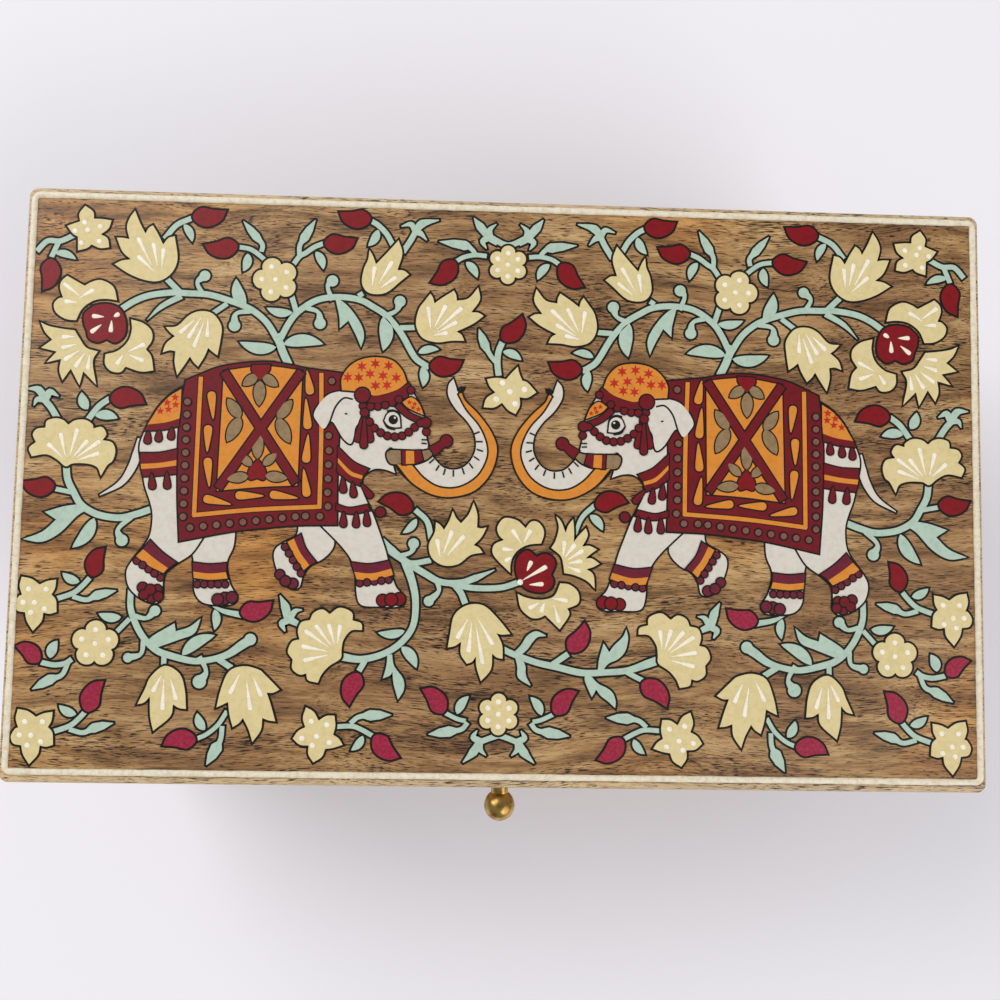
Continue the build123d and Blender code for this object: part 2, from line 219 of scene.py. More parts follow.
def velvet(name, code, deep):
    """Short pile velvet glued on card: deep red from straight on, with a light edge where the pile turns."""
    material, tree, shader = new_material(name)
    spot = millimetres(tree)
    # pile tufts are about 0.2 mm, drawn at 0.6 mm so that they show
    pile = add(tree, "ShaderNodeTexNoise", {"Vector": spot, "Scale": 1.7, "Detail": 4.0, "Roughness": 0.7})
    strokes = add(tree, "ShaderNodeTexNoise", {"Vector": spot, "Scale": 0.03, "Detail": 2.0, "Distortion": 0.3})
    lay = add(tree, "ShaderNodeMath", {0: pile.outputs["Fac"], 1: strokes.outputs["Fac"]}, operation="ADD")
    half = add(tree, "ShaderNodeMath", {0: lay.outputs[0], 1: 0.5}, operation="MULTIPLY")
    tree.links.new(ramp(tree, half.outputs[0], [(0.36, deep), (0.62, code)]), shader.inputs["Base Color"])
    shader.inputs["Roughness"].default_value = 0.95
    shader.inputs["IOR"].default_value = 1.4
    shader.inputs["Sheen Weight"].default_value = 0.7
    shader.inputs["Sheen Roughness"].default_value = 0.35
    shader.inputs["Sheen Tint"].default_value = linear("#e8909a")
    bump(tree, shader, pile.outputs["Fac"], 0.35, 0.7)
    return material


def metal(name, code, deep, rough, brushed=(1, 1, 1)):
    """Bare metal, turned or rolled: fine tool lines and a patchy dull film from handling."""
    material, tree, shader = new_material(name)
    lines = add(tree, "ShaderNodeTexNoise", {
        "Vector": millimetres(tree, brushed), "Scale": 3.0, "Detail": 4.0, "Roughness": 0.6})
    film = add(tree, "ShaderNodeTexNoise", {"Vector": millimetres(tree), "Scale": 0.5, "Detail": 4.0})
    tree.links.new(ramp(tree, film.outputs["Fac"], [(0.35, deep), (0.6, code)]), shader.inputs["Base Color"])
    dull = add(tree, "ShaderNodeMapRange", {"Value": film.outputs["Fac"], "To Min": rough + 0.12, "To Max": rough})
    tree.links.new(dull.outputs[0], shader.inputs["Roughness"])
    shader.inputs["Metallic"].default_value = 1.0
    bump(tree, shader, lines.outputs["Fac"], 0.02, 0.6)
    return material


LID_TONES = [(0.30, "#644729"), (0.41, "#8f6b42"), (0.50, "#af8858"), (0.60, "#c5a26f"), (0.74, "#d4b585")]
WALL_TONES = [(0.30, "#6b5038"), (0.41, "#93724c"), (0.52, "#b08e62"), (0.62, "#c2a377"), (0.74, "#d1b68c")]
INNER_TONES = [(0.30, "#7d6142"), (0.46, "#a98a60"), (0.58, "#c2a377"), (0.72, "#d5ba90")]

# rim 0.7 gives the lid's edges a painted highlight
lid_wood = lacquered_wood("mango_wood_lid_lacquered", LID_TONES, rim=0.7)
wall_wood = lacquered_wood("mango_wood_wall_lacquered", WALL_TONES)
side_wood = lacquered_wood("mango_wood_side_wall_lacquered", WALL_TONES, grain="Y")
inner_wood = lacquered_wood("mango_wood_divider_sanded", INNER_TONES, gloss=0.5)
cross_wood = lacquered_wood("mango_wood_cross_divider_sanded", INNER_TONES, grain="Y", gloss=0.5)
cream_line = enamel("enamel_cone_paste_cream", "#e6dcc6", "#cfc2a6", rough=0.42, depth_mm=0.12)
red_velvet = velvet("cotton_velvet_crimson", "#7c1020", "#4d0812")
red_felt = velvet("wool_felt_maroon", "#5a1018", "#3c0a10")
turned_brass = metal("brass_turned_knob", "#c9a45f", "#8f6d38", 0.24, brushed=(1, 0.2, 1))
pressed_brass = metal("brass_pressed_hinge", "#c8a860", "#9c7c42", 0.30, brushed=(0.1, 1, 1))
bright_brass = metal("brass_screw_bright", "#d2b26c", "#a98a4a", 0.26)
zinc_steel = metal("zinc_plated_steel_screw", "#a9abad", "#85878a", 0.34)
PAINT = {
    "ink": enamel("enamel_black_ink", "#0b0807", "#120e0c", rough=0.6),
    "mint": enamel("enamel_mint_green", "#afc3b2", "#a1b7a4"),
    "cream": enamel("enamel_pale_cream", "#d7c692", "#cdbb84", depth_mm=0.08),
    "relief": enamel("enamel_white_relief_drops", "#f1e8d6", "#e6dcc4", rough=0.45),
    "crimson": enamel("enamel_crimson", "#80020f", "#70020c", rough=0.45),
    "rose": enamel("enamel_rose_red", "#8e1630", "#a12c4a", rough=0.45, mottle_mm=0.9),
    "white": enamel("enamel_bone_white", "#d2cbc0", "#c9c1b4"),
    "maroon": enamel("enamel_maroon", "#6f0313", "#610310"),
    "purple": enamel("enamel_dull_plum", "#6a1629", "#5c1224"),
    "orange": enamel("enamel_marigold_orange", "#d3852c", "#c87b26"),
    "red": enamel("enamel_bright_red", "#bd2318", "#a31b14"),
    "bare": enamel("enamel_umber_bare_ground", "#8f7654", "#7d6546"),
    "stud": enamel("enamel_brown_stud", "#7d5344", "#6c4538"),
}

SLOT_MATERIALS = {
    "lid_wood": lid_wood, "lacquered_wood": wall_wood, "divider_wood": inner_wood,
    "cream_relief_paint": cream_line, "velvet": red_velvet, "base_felt": red_felt, "knob_brass": turned_brass,
    "hinge_brass": pressed_brass, "screw_brass": bright_brass, "screw_steel": zinc_steel,
}
OWN_MATERIALS = {
    "left_wall": side_wood, "right_wall": side_wood,
    "left_cross_divider": cross_wood, "right_cross_divider": cross_wood,
}
for part in frame["record"]["subparts"]:
    node = frame["nodes"][part["node"]]
    finish = OWN_MATERIALS.get(part["node"], SLOT_MATERIALS[part["material_slot"]])
    node.data.materials.clear()
    node.data.materials.append(finish)


# Meshes from whole arrays


def make_piece(name, points, faces, material, body, smooth=False):
    """A mesh object of points in millimetres, at the origin, riding on body."""
    mesh = bpy.data.meshes.new(name)
    mesh.from_pydata((np.asarray(points) * MM).tolist(), [], faces)
    mesh.validate()
    mesh.materials.append(material)
    if smooth:
        mesh.shade_smooth()
    piece = bpy.data.objects.new(name, mesh)
    bpy.context.scene.collection.objects.link(piece)
    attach(piece, body)
    return piece


def ring_quads(count, rings, start=0, closed_rings=False):
    """Quads between rings of count points each, every ring closed on itself."""
    i = np.arange(count)
    j = (i + 1) % count
    steps = np.arange(rings if closed_rings else rings - 1)[:, None]
    after = (steps + 1) % rings
    quads = np.stack([steps * count + i, steps * count + j, after * count + j, after * count + i], axis=-1)
    return (quads.reshape(-1, 4) + start).tolist()


# Plane curves of the painting


def through(points, steps=4, closed=False):
    """Catmull-Rom curve through the points: each span is a cubic whose ends lean along the neighbours."""
    p = np.asarray(points, float)
    if closed:
        p = np.vstack([p[-1:], p, p[:2]])
    else:
        p = np.vstack([2 * p[0] - p[1], p, 2 * p[-1] - p[-2]])
    t = np.linspace(0, 1, steps, endpoint=False)[None, :, None]
    a, b, c, d = p[:-3, None], p[1:-2, None], p[2:-1, None], p[3:, None]
    curve = 0.5 * (2 * b + (c - a) * t + (2 * a - 5 * b + 4 * c - d) * t ** 2 + (3 * b - a - 3 * c + d) * t ** 3)
    curve = curve.reshape(-1, 2)
    return curve if closed else np.vstack([curve, p[-2:-1]])


def outline(points, steps=4):
    """Closed outline through the points; one marked S is a corner, where the curve starts anew."""
    xy = np.array([p[:2] for p in points], float)
    corners = [i for i, p in enumerate(points) if len(p) == 3]
    if not corners:
        return through(xy, steps, closed=True)
    xy = np.roll(xy, -corners[0], axis=0)
    marks = [c - corners[0] for c in corners] + [len(points)]
    xy = np.vstack([xy, xy[:1]])
    return np.vstack([through(xy[a:b + 1], steps)[:-1] for a, b in zip(marks, marks[1:])])


def beside(line, half):
    """The two edges of a line, half to each side of it, square to its run."""
    run = np.gradient(line, axis=0)
    run /= np.linalg.norm(run, axis=1, keepdims=True)
    across = np.stack([-run[:, 1], run[:, 0]], axis=1) * np.broadcast_to(half, len(line))[:, None]
    return line + across, line - across


def ribbon(points, width, steps=5):
    """Closed outline of a band along a curve; width is one number, or one for each point, in between by share."""
    line = through(points, steps)
    half = np.interp(np.linspace(0, 1, len(line)), np.linspace(0, 1, np.size(width)), np.atleast_1d(width)) / 2
    left, right = beside(line, half)
    return np.vstack([left, right[::-1]])


def leaf(base, tip, width, bend=0.10, fullness=0.8):
    """A pointed leaf: its half width is sin(pi t to the 0.85) to the power fullness, on a spine bent by bend."""
    t = np.linspace(0, 1, 13)
    base, tip = np.array(base, float), np.array(tip, float)
    side = np.array([base[1] - tip[1], tip[0] - base[0]])
    spine = base + t[:, None] * (tip - base) + (bend * np.sin(np.pi * t))[:, None] * side
    half = width / 2 * np.sin(np.pi * t ** 0.85) ** fullness
    left, right = beside(spine, np.maximum(half, 0.02))
    return np.vstack([left, right[-2:0:-1]])


def local(shape, base, tip, side=1):
    """A shape drawn from (0, 0) to (1, 0), laid from base to tip; side -1 turns it over."""
    base, tip = np.array(base, float), np.array(tip, float)
    run = tip - base
    left = np.array([-run[1], run[0]]) * side
    return base + shape[:, :1] * run + shape[:, 1:] * left


BUD = outline([(1, 0, S), (0.82, 0.24), (0.53, 0.35), (0.26, 0.315), (0.05, 0.115), (0.05, -0.09),
               (0.32, -0.227), (0.64, -0.10)], 5)


def disc(x, y, radius, count=16):
    """A circle of count points."""
    turn = np.linspace(0, 2 * np.pi, count, endpoint=False)
    return np.array([x, y]) + radius * np.stack([np.cos(turn), np.sin(turn)], axis=1)


def drop(head, tail, radius):
    """A teardrop: a circle of the radius at head, drawn out to a point at tail by (1 + cos)/2 cubed."""
    head, tail = np.array(head, float), np.array(tail, float)
    turn = np.linspace(0, 2 * np.pi, 18, endpoint=False)
    pull = ((1 + np.cos(turn)) / 2) ** 3
    length = np.linalg.norm(tail - head)
    run = (tail - head) / length
    side = np.array([-run[1], run[0]])
    along = radius * np.cos(turn) * (1 - pull) + length * pull
    across = radius * np.sin(turn) * (1 - 0.6 * (1 + np.cos(turn)) / 2)
    return head + along[:, None] * run + across[:, None] * side


def rosette(x, y, radius, lobes, turn_deg):
    """A round flower: at angle a from its turn the reach is radius (0.72 + 0.28 |cos(lobes a / 2)| to the 0.7)."""
    turn = np.linspace(0, 2 * np.pi, lobes * 10, endpoint=False) + math.radians(turn_deg)
    swing = np.abs(np.cos(lobes * (turn - math.radians(turn_deg)) / 2)) ** 0.7
    reach = radius * (0.72 + 0.28 * swing)
    return np.array([x, y]) + reach[:, None] * np.stack([np.cos(turn), np.sin(turn)], axis=1)


def spark(x, y, radius, arms=6):
    """A star of arms whose inner points stand at 0.42 of the radius."""
    turn = np.linspace(0, 2 * np.pi, 2 * arms, endpoint=False) + np.pi / 2
    reach = np.where(np.arange(2 * arms) % 2 == 0, radius, radius * 0.42)
    return np.array([x, y]) + reach[:, None] * np.stack([np.cos(turn), np.sin(turn)], axis=1)


# The painting is gathered here before its meshes are made

coats = {}
lines = {}
raised = []


def mirrored(shape):
    """The shape on the other half of the lid."""
    return np.stack([MIRROR_SUM - shape[:, 0], shape[:, 1]], axis=1)


def counter_clockwise(shape):
    """The shape with its points in counter-clockwise order."""
    x, y = shape.T
    area = np.sum(x * np.roll(y, -1) - np.roll(x, -1) * y)
    return shape if area > 0 else shape[::-1]


def halves(shape, both):
    """The shape and, where both, its mirror image, each with its points in counter-clockwise order."""
    return [counter_clockwise(one) for one in ([shape, mirrored(shape)] if both else [shape])]


def paint(colour, shape, level, both=True, ink=INK, group="creeper"):
    """Lays a shape on a level, with a black line round it where ink isn't 0."""
    for one in halves(shape, both):
        coats.setdefault(colour, []).append((one, level))
        if ink:
            lines.setdefault(group, []).append((one, level, ink))


def stroke(points, level, width=0.45):
    """A black line drawn along a curve, on both halves."""
    paint("ink", ribbon(points, width, 4), level, ink=0)


def relief(shape, both=True):
    """A raised white drop on a petal."""
    raised.extend(halves(shape, both))


def prisms(shapes):
    """Closed flat prisms: each outline at its level's height, walls down to the lid, and a floor."""
    points, faces, start = [], [], 0
    for number, (shape, level) in enumerate(shapes):
        count = len(shape)
        height = LID_TOP + COAT + LEVEL * level + STEP * (number % STEPS)
        top = np.column_stack([shape, np.full(count, height)])
        low = np.column_stack([shape, np.full(count, LID_TOP)])
        points += [low, top]
        faces += ring_quads(count, 2, start)
        faces += [list(range(start + count, start + 2 * count)), list(range(start + count - 1, start - 1, -1))]
        start += 2 * count
    return np.vstack(points), faces


def bands(shapes):
    """Closed rings of rectangular section along each outline: ink wide outside it, and INK_INSIDE of that inside."""
    points, faces, start = [], [], 0
    for number, (shape, level, ink) in enumerate(shapes):
        before, after = shape - np.roll(shape, 1, axis=0), np.roll(shape, -1, axis=0) - shape
        before /= np.maximum(np.linalg.norm(before, axis=1, keepdims=True), 1e-6)
        after /= np.maximum(np.linalg.norm(after, axis=1, keepdims=True), 1e-6)
        run = before + after
        run /= np.maximum(np.linalg.norm(run, axis=1, keepdims=True), 1e-6)
        reach = ink / np.clip(np.sum(run * before, axis=1, keepdims=True), 0.55, 1)
        out = np.stack([run[:, 1], -run[:, 0]], axis=1) * reach
        z = LID_TOP + INK_LIFT + LEVEL * level + STEP * 0.5 * (number % STEPS)
        count = len(shape)
        rings = [(shape + out, LID_TOP), (shape + out, z), (shape - INK_INSIDE * out, z),
                 (shape - INK_INSIDE * out, LID_TOP)]
        points += [np.column_stack([ring, np.full(count, height)]) for ring, height in rings]
        faces += ring_quads(count, 4, start, closed_rings=True)
        start += 4 * count
    return np.vstack(points), faces


def domes(shapes):
    """Raised drops: rings of the outline shrink to its middle while the height rises as a quarter circle."""
    points, faces, start = [], [], 0
    rise = np.radians([0, 25, 55])
    floor = LID_TOP + LEVEL * DROP_LEVEL
    for shape in shapes:
        count = len(shape)
        middle = shape.mean(axis=0)
        for angle in rise:
            ring = middle + (shape - middle) * math.cos(angle)
            points.append(np.column_stack([ring, np.full(count, floor + DROP_HEIGHT * math.sin(angle))]))
        points.append(np.array([[*middle, floor + DROP_HEIGHT]]))
        faces += ring_quads(count, len(rise), start)
        last, tip = start + (len(rise) - 1) * count, start + len(rise) * count
        faces += [[last + i, last + (i + 1) % count, tip] for i in range(count)]
        faces.append(list(range(start + count - 1, start - 1, -1)))
        start = tip + 1
    return np.vstack(points), faces


# Creepers: stems, tendrils and leaves in mint green. A stem is its curve and its width, or a width for each point.

STEM, FLOWER = 0, 1
stems_both = [
    ([(-61.2, 39.4), (-60.2, 37.2), (-59.2, 34.6), (-57.6, 31.4)], 2),
    ([(-60.6, 37.6), (-63.5, 42.2), (-66.9, 45.2), (-70, 46.8), (-73.8, 48.1), (-79.2, 49.5), (-85, 49.7),
      (-88.5, 49.8), (-94.3, 48.9), (-98.2, 47.3), (-101.6, 45)], 1.6),
    ([(-60, 38.3), (-58.1, 42.2), (-56, 45.2), (-52.3, 48.1), (-48.5, 49.5), (-43.5, 49.8), (-39.2, 49.1),
      (-36.1, 47.5), (-33, 45.6), (-30.3, 42.9), (-28, 39.8), (-24.9, 34.5), (-22.6, 32.6), (-20.9, 31.7)], 1.6),
    ([(-86.2, 48.9), (-91.2, 46), (-94.8, 42.3)], [1.6, 1.3, 0.1]),
    ([(-57.5, 49.8), (-56, 45.2)], 1.4),
    ([(-90.1, 53.3), (-86.2, 49.5)], 1.5),
    ([(-77.9, 44.5), (-74.2, 47.2)], 1.3),
    ([(-40, 50.2), (-38.8, 51)], 1.3),
    ([(-28.8, 42), (-24.9, 42.2)], 1.4),
    ([(-114.5, 64.5), (-118.2, 62.7), (-121.5, 62.6), (-124.1, 59.8)], 1.4),
    ([(-118.6, 62.5), (-120.3, 58.3)], 1.3),
    ([(-91.2, 64.1), (-88.2, 67.9), (-84.3, 69.9)], 1.4),
    ([(-71.9, 62.5), (-68.8, 62), (-66.5, 60.6), (-64, 58.5)], 1.2),
    ([(-57.5, 57.9), (-55.8, 60.4), (-54.2, 61.4), (-51.9, 63.1), (-49.6, 64.1)], 1.3),
    ([(-37.2, 70.6), (-35.3, 69.5), (-33, 67.2), (-31.3, 64.3)], 1.4),
    ([(-6.3, 62), (-9.2, 62.2), (-12.2, 61.6), (-14.3, 60.4)], 1.2),
    ([(-108.9, 15.5), (-106.2, 19.2), (-103.5, 21.3)], 1.5),
    ([(-113.7, 3.2), (-113.2, 0), (-111.6, -3.1), (-109.7, -6.2), (-107, -8.1), (-103.9, -9.2), (-99.3, -9.6),
      (-95.1, -8.5), (-91.8, -7.3)], 1.7),
    ([(-112, -3.3), (-116.2, -2.5)], 1.2),
    ([(-95.8, -28), (-95.8, -31.9), (-95.1, -34.6), (-93.5, -38.1), (-91.2, -41.2), (-88.5, -43.4),
      (-85.5, -44.5), (-79.2, -45.9), (-74.2, -45.3), (-70.4, -44), (-67.3, -41.8), (-65, -40.3)],
     [1.5, 1.5, 1.6, 1.6, 1.6, 1.7, 1.7, 1.6, 1.5, 1.8, 2.2, 2.4]),
    ([(-95.8, -35.4), (-99.1, -39)], 1.2),
    ([(-109.9, -45.9), (-111.6, -47), (-114.3, -47.4), (-117.6, -46.8)], 1.3),
    ([(-86.7, -44.5), (-86.7, -47)], 1.3),
    ([(-73, -45.3), (-69.5, -47.5)], 1.5),
    ([(-77.7, -65.5), (-75, -64.2), (-72.3, -61.8), (-70.2, -58.4)], 1.1),
    ([(-9.3, -60.1), (-11.5, -59.6), (-14.5, -58.2)], 1.1),
    ([(-75.6, -31.4), (-72, -33.1), (-67.2, -34)], [0.2, 1.2, 1.6]),
    ([(-42.8, -62), (-38.5, -61.8), (-36, -62.6), (-33, -64.2)], 1.2),
]
sprig = (0.8, -33.5)
sprig_stem = [(-106.4, -25.2), (-108.2, -27.3), (-110.5, -29.2), (-114.9, -30.8)]
sprig_tongue = [(-110.5, -30), (-107, -30.8), (-104.3, -29.6), (-99.5, -28.3)]


def shifted(points, by):
    """The points moved by a distance in x and y."""
    return [(p[0] + by[0], p[1] + by[1], *p[2:]) for p in points]


stems_both += [(sprig_stem, 1.3), (shifted(sprig_stem, sprig), 1.3)]
for path, width in stems_both:
    paint("mint", ribbon(path, width), STEM)

leaves_both = [
    ((-119.5, 59.5), (-113.9, 57.9), 1.9), ((-86.4, 68.1), (-84, 63.5), 2), ((-69.4, 60.8), (-70.4, 56), 2.3),
    ((-51.6, 61.8), (-49.4, 57.1), 2.2), ((-35.3, 68.3), (-37.8, 63.8), 2.2), ((-11.8, 60.2), (-8.7, 56), 2.2),
    ((-57.1, 45.4), (-63.9, 46.4), 2.3), ((-69.4, 46.6), (-72.1, 53.9), 3.2), ((-23.8, 35.4), (-18.4, 36.5), 2),
    ((-22.8, 31.7), (-22.4, 26.5), 2.4), ((-108.9, 18.4), (-110.7, 22.8), 2.6), ((-107, 16.7), (-101.2, 16.2), 2.5),
    ((-108.9, -26.2), (-113.3, -24), 2.2), ((-108.1, -59.7), (-112.5, -57.5), 2.2),
    ((-98, -35), (-103.7, -34.2), 2.3), ((-115.3, -45.7), (-113.7, -41.3), 2.6),
    ((-75.6, -63.2), (-77.7, -59), 2.3), ((-74.4, -32.7), (-74.2, -37.9), 2.1), ((-82.1, -44.5), (-74, -39.3), 3),
    ((-35.5, -64.2), (-38.4, -67.9), 2), ((-11.5, -58.4), (-8.6, -53.8), 2.3),
    ((-61, 36), (-70.6, 37.1), 3), ((-59.2, 36.8), (-48.8, 37.1), 3.2), ((-33.4, 44.8), (-33.1, 35.8), 3.6),
    ((-106, -9.8), (-111.2, -17.5), 3.2),
]
leaves_single = [
    ((-1.5, 36.3), (3.4, 34.2), 2.2), ((-23.2, -8.3), (-26.7, -12.1), 1.9), ((-25.5, -37.3), (-32.4, -37.9), 2.2),
    ((-26.3, -41.5), (-22.3, -46.8), 2.7), ((22.1, -6.5), (25.5, -10.4), 2.2),
]
for leaves, both in ((leaves_both, True), (leaves_single, False)):
    for base, tip, width in leaves:
        paint("mint", leaf(base, tip, width), STEM, both=both)

tongues_both = [
    ([(-65.8, 61.4), (-65.6, 63.3), (-67.3, 65.4), (-70.8, 69.5)], 2.2),
    ([(-55.8, 60.4), (-55.8, 63.3), (-54.6, 65.6), (-51.9, 70.4)], 2.4),
    ([(-9.2, 62.2), (-10.3, 63.7), (-12.2, 64.7), (-19, 65.6)], 2.6),
    (sprig_tongue, 2.4), (shifted(sprig_tongue, sprig), 2.4),
    ([(-110.8, -46.8), (-112.2, -49.9), (-115.1, -51.1), (-119.5, -53.6)], 2.6),
    ([(-71.3, -62.2), (-71.5, -65.3), (-72.5, -67.6), (-74.9, -72)], 3),
    ([(-38.8, -61.1), (-36.8, -59.5), (-33.8, -59), (-28.4, -58.8)], 2.7),
    ([(-8.8, -60.5), (-10.3, -62.2), (-13.4, -62.8), (-18.8, -63.6)], 2.7),
]


def tongue(path, width):
    """A stem of 1.2 mm whose last span swells to a leaf of width and runs out to a point."""
    return ribbon(path, [1.2, 1.2, 1.2, 1.3, width, width * 0.8, 0.1], 6)


for path, width in tongues_both:
    paint("mint", tongue(path, width), STEM)
paint("mint", tongue([(-2.9, 33.1), (-4.6, 35), (-6.3, 38), (-8, 42.3)], 2.4), STEM, both=False)

curls_both = [
    ((-80.8, 50), (-82.2, 52.5), (-80.3, 54.5), 1.4), ((-69, 45.2), (-71.8, 44.6), (-72.1, 41.4), 1.5),
    ((-52.7, 46.4), (-50.4, 45.6), (-49.8, 42.6), 1.5), ((-47.1, 49.8), (-48.1, 52.4), (-46.9, 54.1), 1.5),
    ((-31.8, 45.6), (-29.9, 46.6), (-29, 49.1), 1.5), ((-97.4, -10.2), (-99.8, -12.6), (-98.7, -15.4), 1.5),
    ((-93.9, -34.8), (-91.6, -35.2), (-89.5, -33.3), 1.35), ((-92.2, -41.8), (-92.6, -44.3), (-95.8, -45.3), 1.2),
    ((-77.3, -45.7), (-75.9, -48.4), (-77.5, -51.1), 1.7),
]


def curl(base, middle, head, radius):
    """A comma shaped tendril: a thin neck, rooted a little behind base, that swells to a round head."""
    root = (1.35 * base[0] - 0.35 * middle[0], 1.35 * base[1] - 0.35 * middle[1])
    neck = ribbon([root, middle, head], [1.3, 1.0, radius * 1.6], 6)
    return neck, disc(*head, radius)


paint("mint", disc(-65, -40.2, 1.5), STEM)
for curve in curls_both:
    for shape in curl(*curve):
        paint("mint", shape, STEM)
for curve in [((-26.8, -17.9), (-24.4, -17), (-23.8, -14.8), 1.4), ((-17.4, -25), (-17, -27), (-19.5, -29.6), 1.3)]:
    for shape in curl(*curve):
        paint("mint", shape, STEM, both=False)

# Forked leaves, each one outline
forked_both = [
    [(-46, 49.4, S), (-44, 48.6), (-41.5, 46.2), (-39, 42.5), (-38.2, 39.5), (-38.9, 36.5, S), (-40.2, 39.5),
     (-42.4, 43.6, S), (-44.6, 41.5, S), (-44.8, 44.5)],
    [(-110.5, -6.4, S), (-114, -7), (-118.6, -8.5, S), (-115.6, -10.4, S), (-119, -13.6), (-123.8, -15.6, S),
     (-119, -16.2), (-114.5, -13.8), (-110.5, -9.5), (-108, -7.8, S)],
    [(-91.2, -41.2, S), (-89.5, -39.5), (-84.4, -36.4, S), (-84, -38.4, S), (-80.5, -37.2), (-77.8, -35, S),
     (-79.2, -38.8), (-83, -40.5), (-88.6, -42.6, S)],
]
for points in forked_both:
    paint("mint", outline(points), STEM)

# Sprigs of three or four strokes that part at a knot
fleur_both = [
    ([(-28.6, 62.4), (-26.6, 65.6), (-25.4, 68)], 1.5), ([(-25.4, 68), (-23.6, 70.3), (-19.2, 71.4)], [1.6, 2.2, 0.2]),
    ([(-25.4, 68), (-24, 67.6), (-22.3, 65.8)], [1.8, 1.5, 0.2]),
    ([(-25.4, 68), (-26.6, 70), (-29.2, 69.4)], [1.4, 1.5, 0.2]),
    ([(-3.5, 65.6), (-5.6, 67), (-8.2, 70), (-9.9, 72.3)], [1.4, 1.8, 2.2, 0.2]),
    ([(-5.6, 67.2), (-5.6, 69.2), (-3.9, 70.8)], [1.8, 1.4, 0.2]),
    ([(-5.4, 67.2), (-7.4, 66), (-6.4, 64)], [1.6, 1.6, 0.2]),
    ([(0.4, 65), (-2, 65.4), (-5.4, 67.2)], 1.5),
    ([(-0.6, -63.6), (-3, -64.4), (-5.6, -65.4)], 1.4), ([(-5.4, -65.2), (-7.2, -68), (-9.8, -70.6)], [1.8, 2.2, 0.2]),
    ([(-5.6, -65.2), (-5.4, -67.2), (-3.9, -68.8)], [1.8, 1.4, 0.2]),
    ([(-5.4, -65.2), (-7.2, -64.2), (-6.3, -62.4)], [1.6, 1.6, 0.2]),
    ([(-116.6, 15.8), (-118.4, 18.6), (-120.2, 20.6)], 1.6),
    ([(-120, 20.6), (-121.8, 23.2), (-124.8, 23.4)], [1.8, 1.9, 0.2]),
    ([(-120, 20.6), (-118.8, 22.6), (-116.6, 21.6)], [1.8, 1.9, 0.2]),
    ([(-120.2, 20.6), (-122, 20.6), (-122.8, 19)], [1.5, 1.4, 0.2]),
    ([(-53, -36), (-55.4, -34.6), (-56.4, -31.6), (-57.8, -28.8)], [1.4, 2, 2.2, 0.2]),
    ([(-55.2, -34.8), (-53.8, -32.8), (-52, -32.4)], [1.8, 1.3, 0.2]),
    ([(-55, -35), (-57, -36), (-56.2, -38)], [1.5, 1.8, 0.3]),
]
for path, width in fleur_both:
    paint("mint", ribbon(path, width), STEM)
stems_single = [
    ([(-2.5, 29.9), (-2.9, 33.1), (-2.7, 36.2), (-1.7, 38.9)], 1.6),
    ([(-31.8, -13.8), (-29.6, -16.6), (-27, -18.6), (-24.6, -20.2), (-20.5, -22.6), (-16.5, -24.6), (-11.5, -24.7),
      (-7.5, -23.4), (-2.6, -21.2)], [0.8, 2.2, 1.8, 1.8, 1.7, 1.6, 1.6, 1.7, 0.2]),
    ([(-25, -19.8), (-23, -19.8), (-19.2, -19)], 1.4),
    ([(-19.3, -13.5), (-20.4, -9), (-23.6, -6)], 1.4),
    ([(-14, -25), (-8, -26), (-1, -25.8), (3.5, -24.4)], 1.5),
    ([(-12.8, -25.4), (-11.2, -27.4), (-10, -30.2)], 1.6),
    ([(-25.8, -19.6), (-23.8, -25), (-22.9, -30), (-23.4, -36), (-26.4, -40.4), (-31, -43.4), (-36.6, -44.8),
      (-41.6, -44.2)], [2.2, 1.9, 1.7, 1.6, 1.6, 1.6, 1.7, 2]),
    ([(-35.2, -44.6), (-37, -47.8)], 1.4),
    ([(23.4, -3.9), (20.6, -6.4), (19.2, -8.9), (18.4, -12.4)], [1.4, 1.2, 1.1, 0.4]),
    ([(-1, -41.2), (2.5, -42.8), (8.6, -44.9), (14.4, -46.1), (20.5, -47.4), (26.7, -47.2), (32.5, -46.6),
      (37.5, -44.9), (40, -44)], [1.6, 1.6, 1.6, 1.7, 1.7, 1.6, 1.6, 2.1, 2.2]),
    ([(12.6, -45.6), (16.9, -42.6)], 1.5),
    ([(31.8, -46.8), (34.4, -48.2), (37, -49.4)], 1.3),
    ([(3.2, -43.2), (5.5, -41), (6.9, -38.9), (8.6, -37.7), (11, -38)], [1.6, 2, 2.2, 1.7, 0.2]),
    ([(3.8, -43.4), (4.8, -46), (5, -48.4), (7.2, -50.8)], [1.4, 2.1, 2.2, 0.2]),
]
for path, width in stems_single:
    paint("mint", ribbon(path, width), STEM, both=False)
paint("mint", outline([(-29.8, -43.6, S), (-30, -46.4), (-30.8, -49.6, S), (-29, -48.8), (-28.4, -47.8, S),
                       (-28, -51), (-26.8, -54.9, S), (-25.4, -52.5), (-25.6, -49.6), (-28, -46.4), (-28.6, -43.4, S)]),
      STEM, both=False)

for points in [
    [(24.7, -46.6, S), (25, -43.8), (26.1, -39.7, S), (26.9, -40.9), (27.6, -42, S), (28.8, -40.3), (31.1, -38),
     (32, -36, S), (32.5, -38.5), (31.7, -41.8), (29.8, -43.8), (27.5, -44.9), (25.9, -46.8, S)],
    [(21.5, -47.6, S), (21.3, -49.2), (22.1, -51.3), (23.2, -53.6, S), (23.8, -52.6), (24.3, -51.6, S),
     (25.5, -53.2), (27.5, -54.7), (29.3, -56.3, S), (29.4, -54.5), (28.6, -52.4), (26.9, -51.1), (24.8, -50.1),
     (22.7, -48, S)],
]:
    paint("mint", outline(points), STEM, both=False)

# Buds from base to tip, some turned over (side -1): crimson above, rose in the lower part of the lid

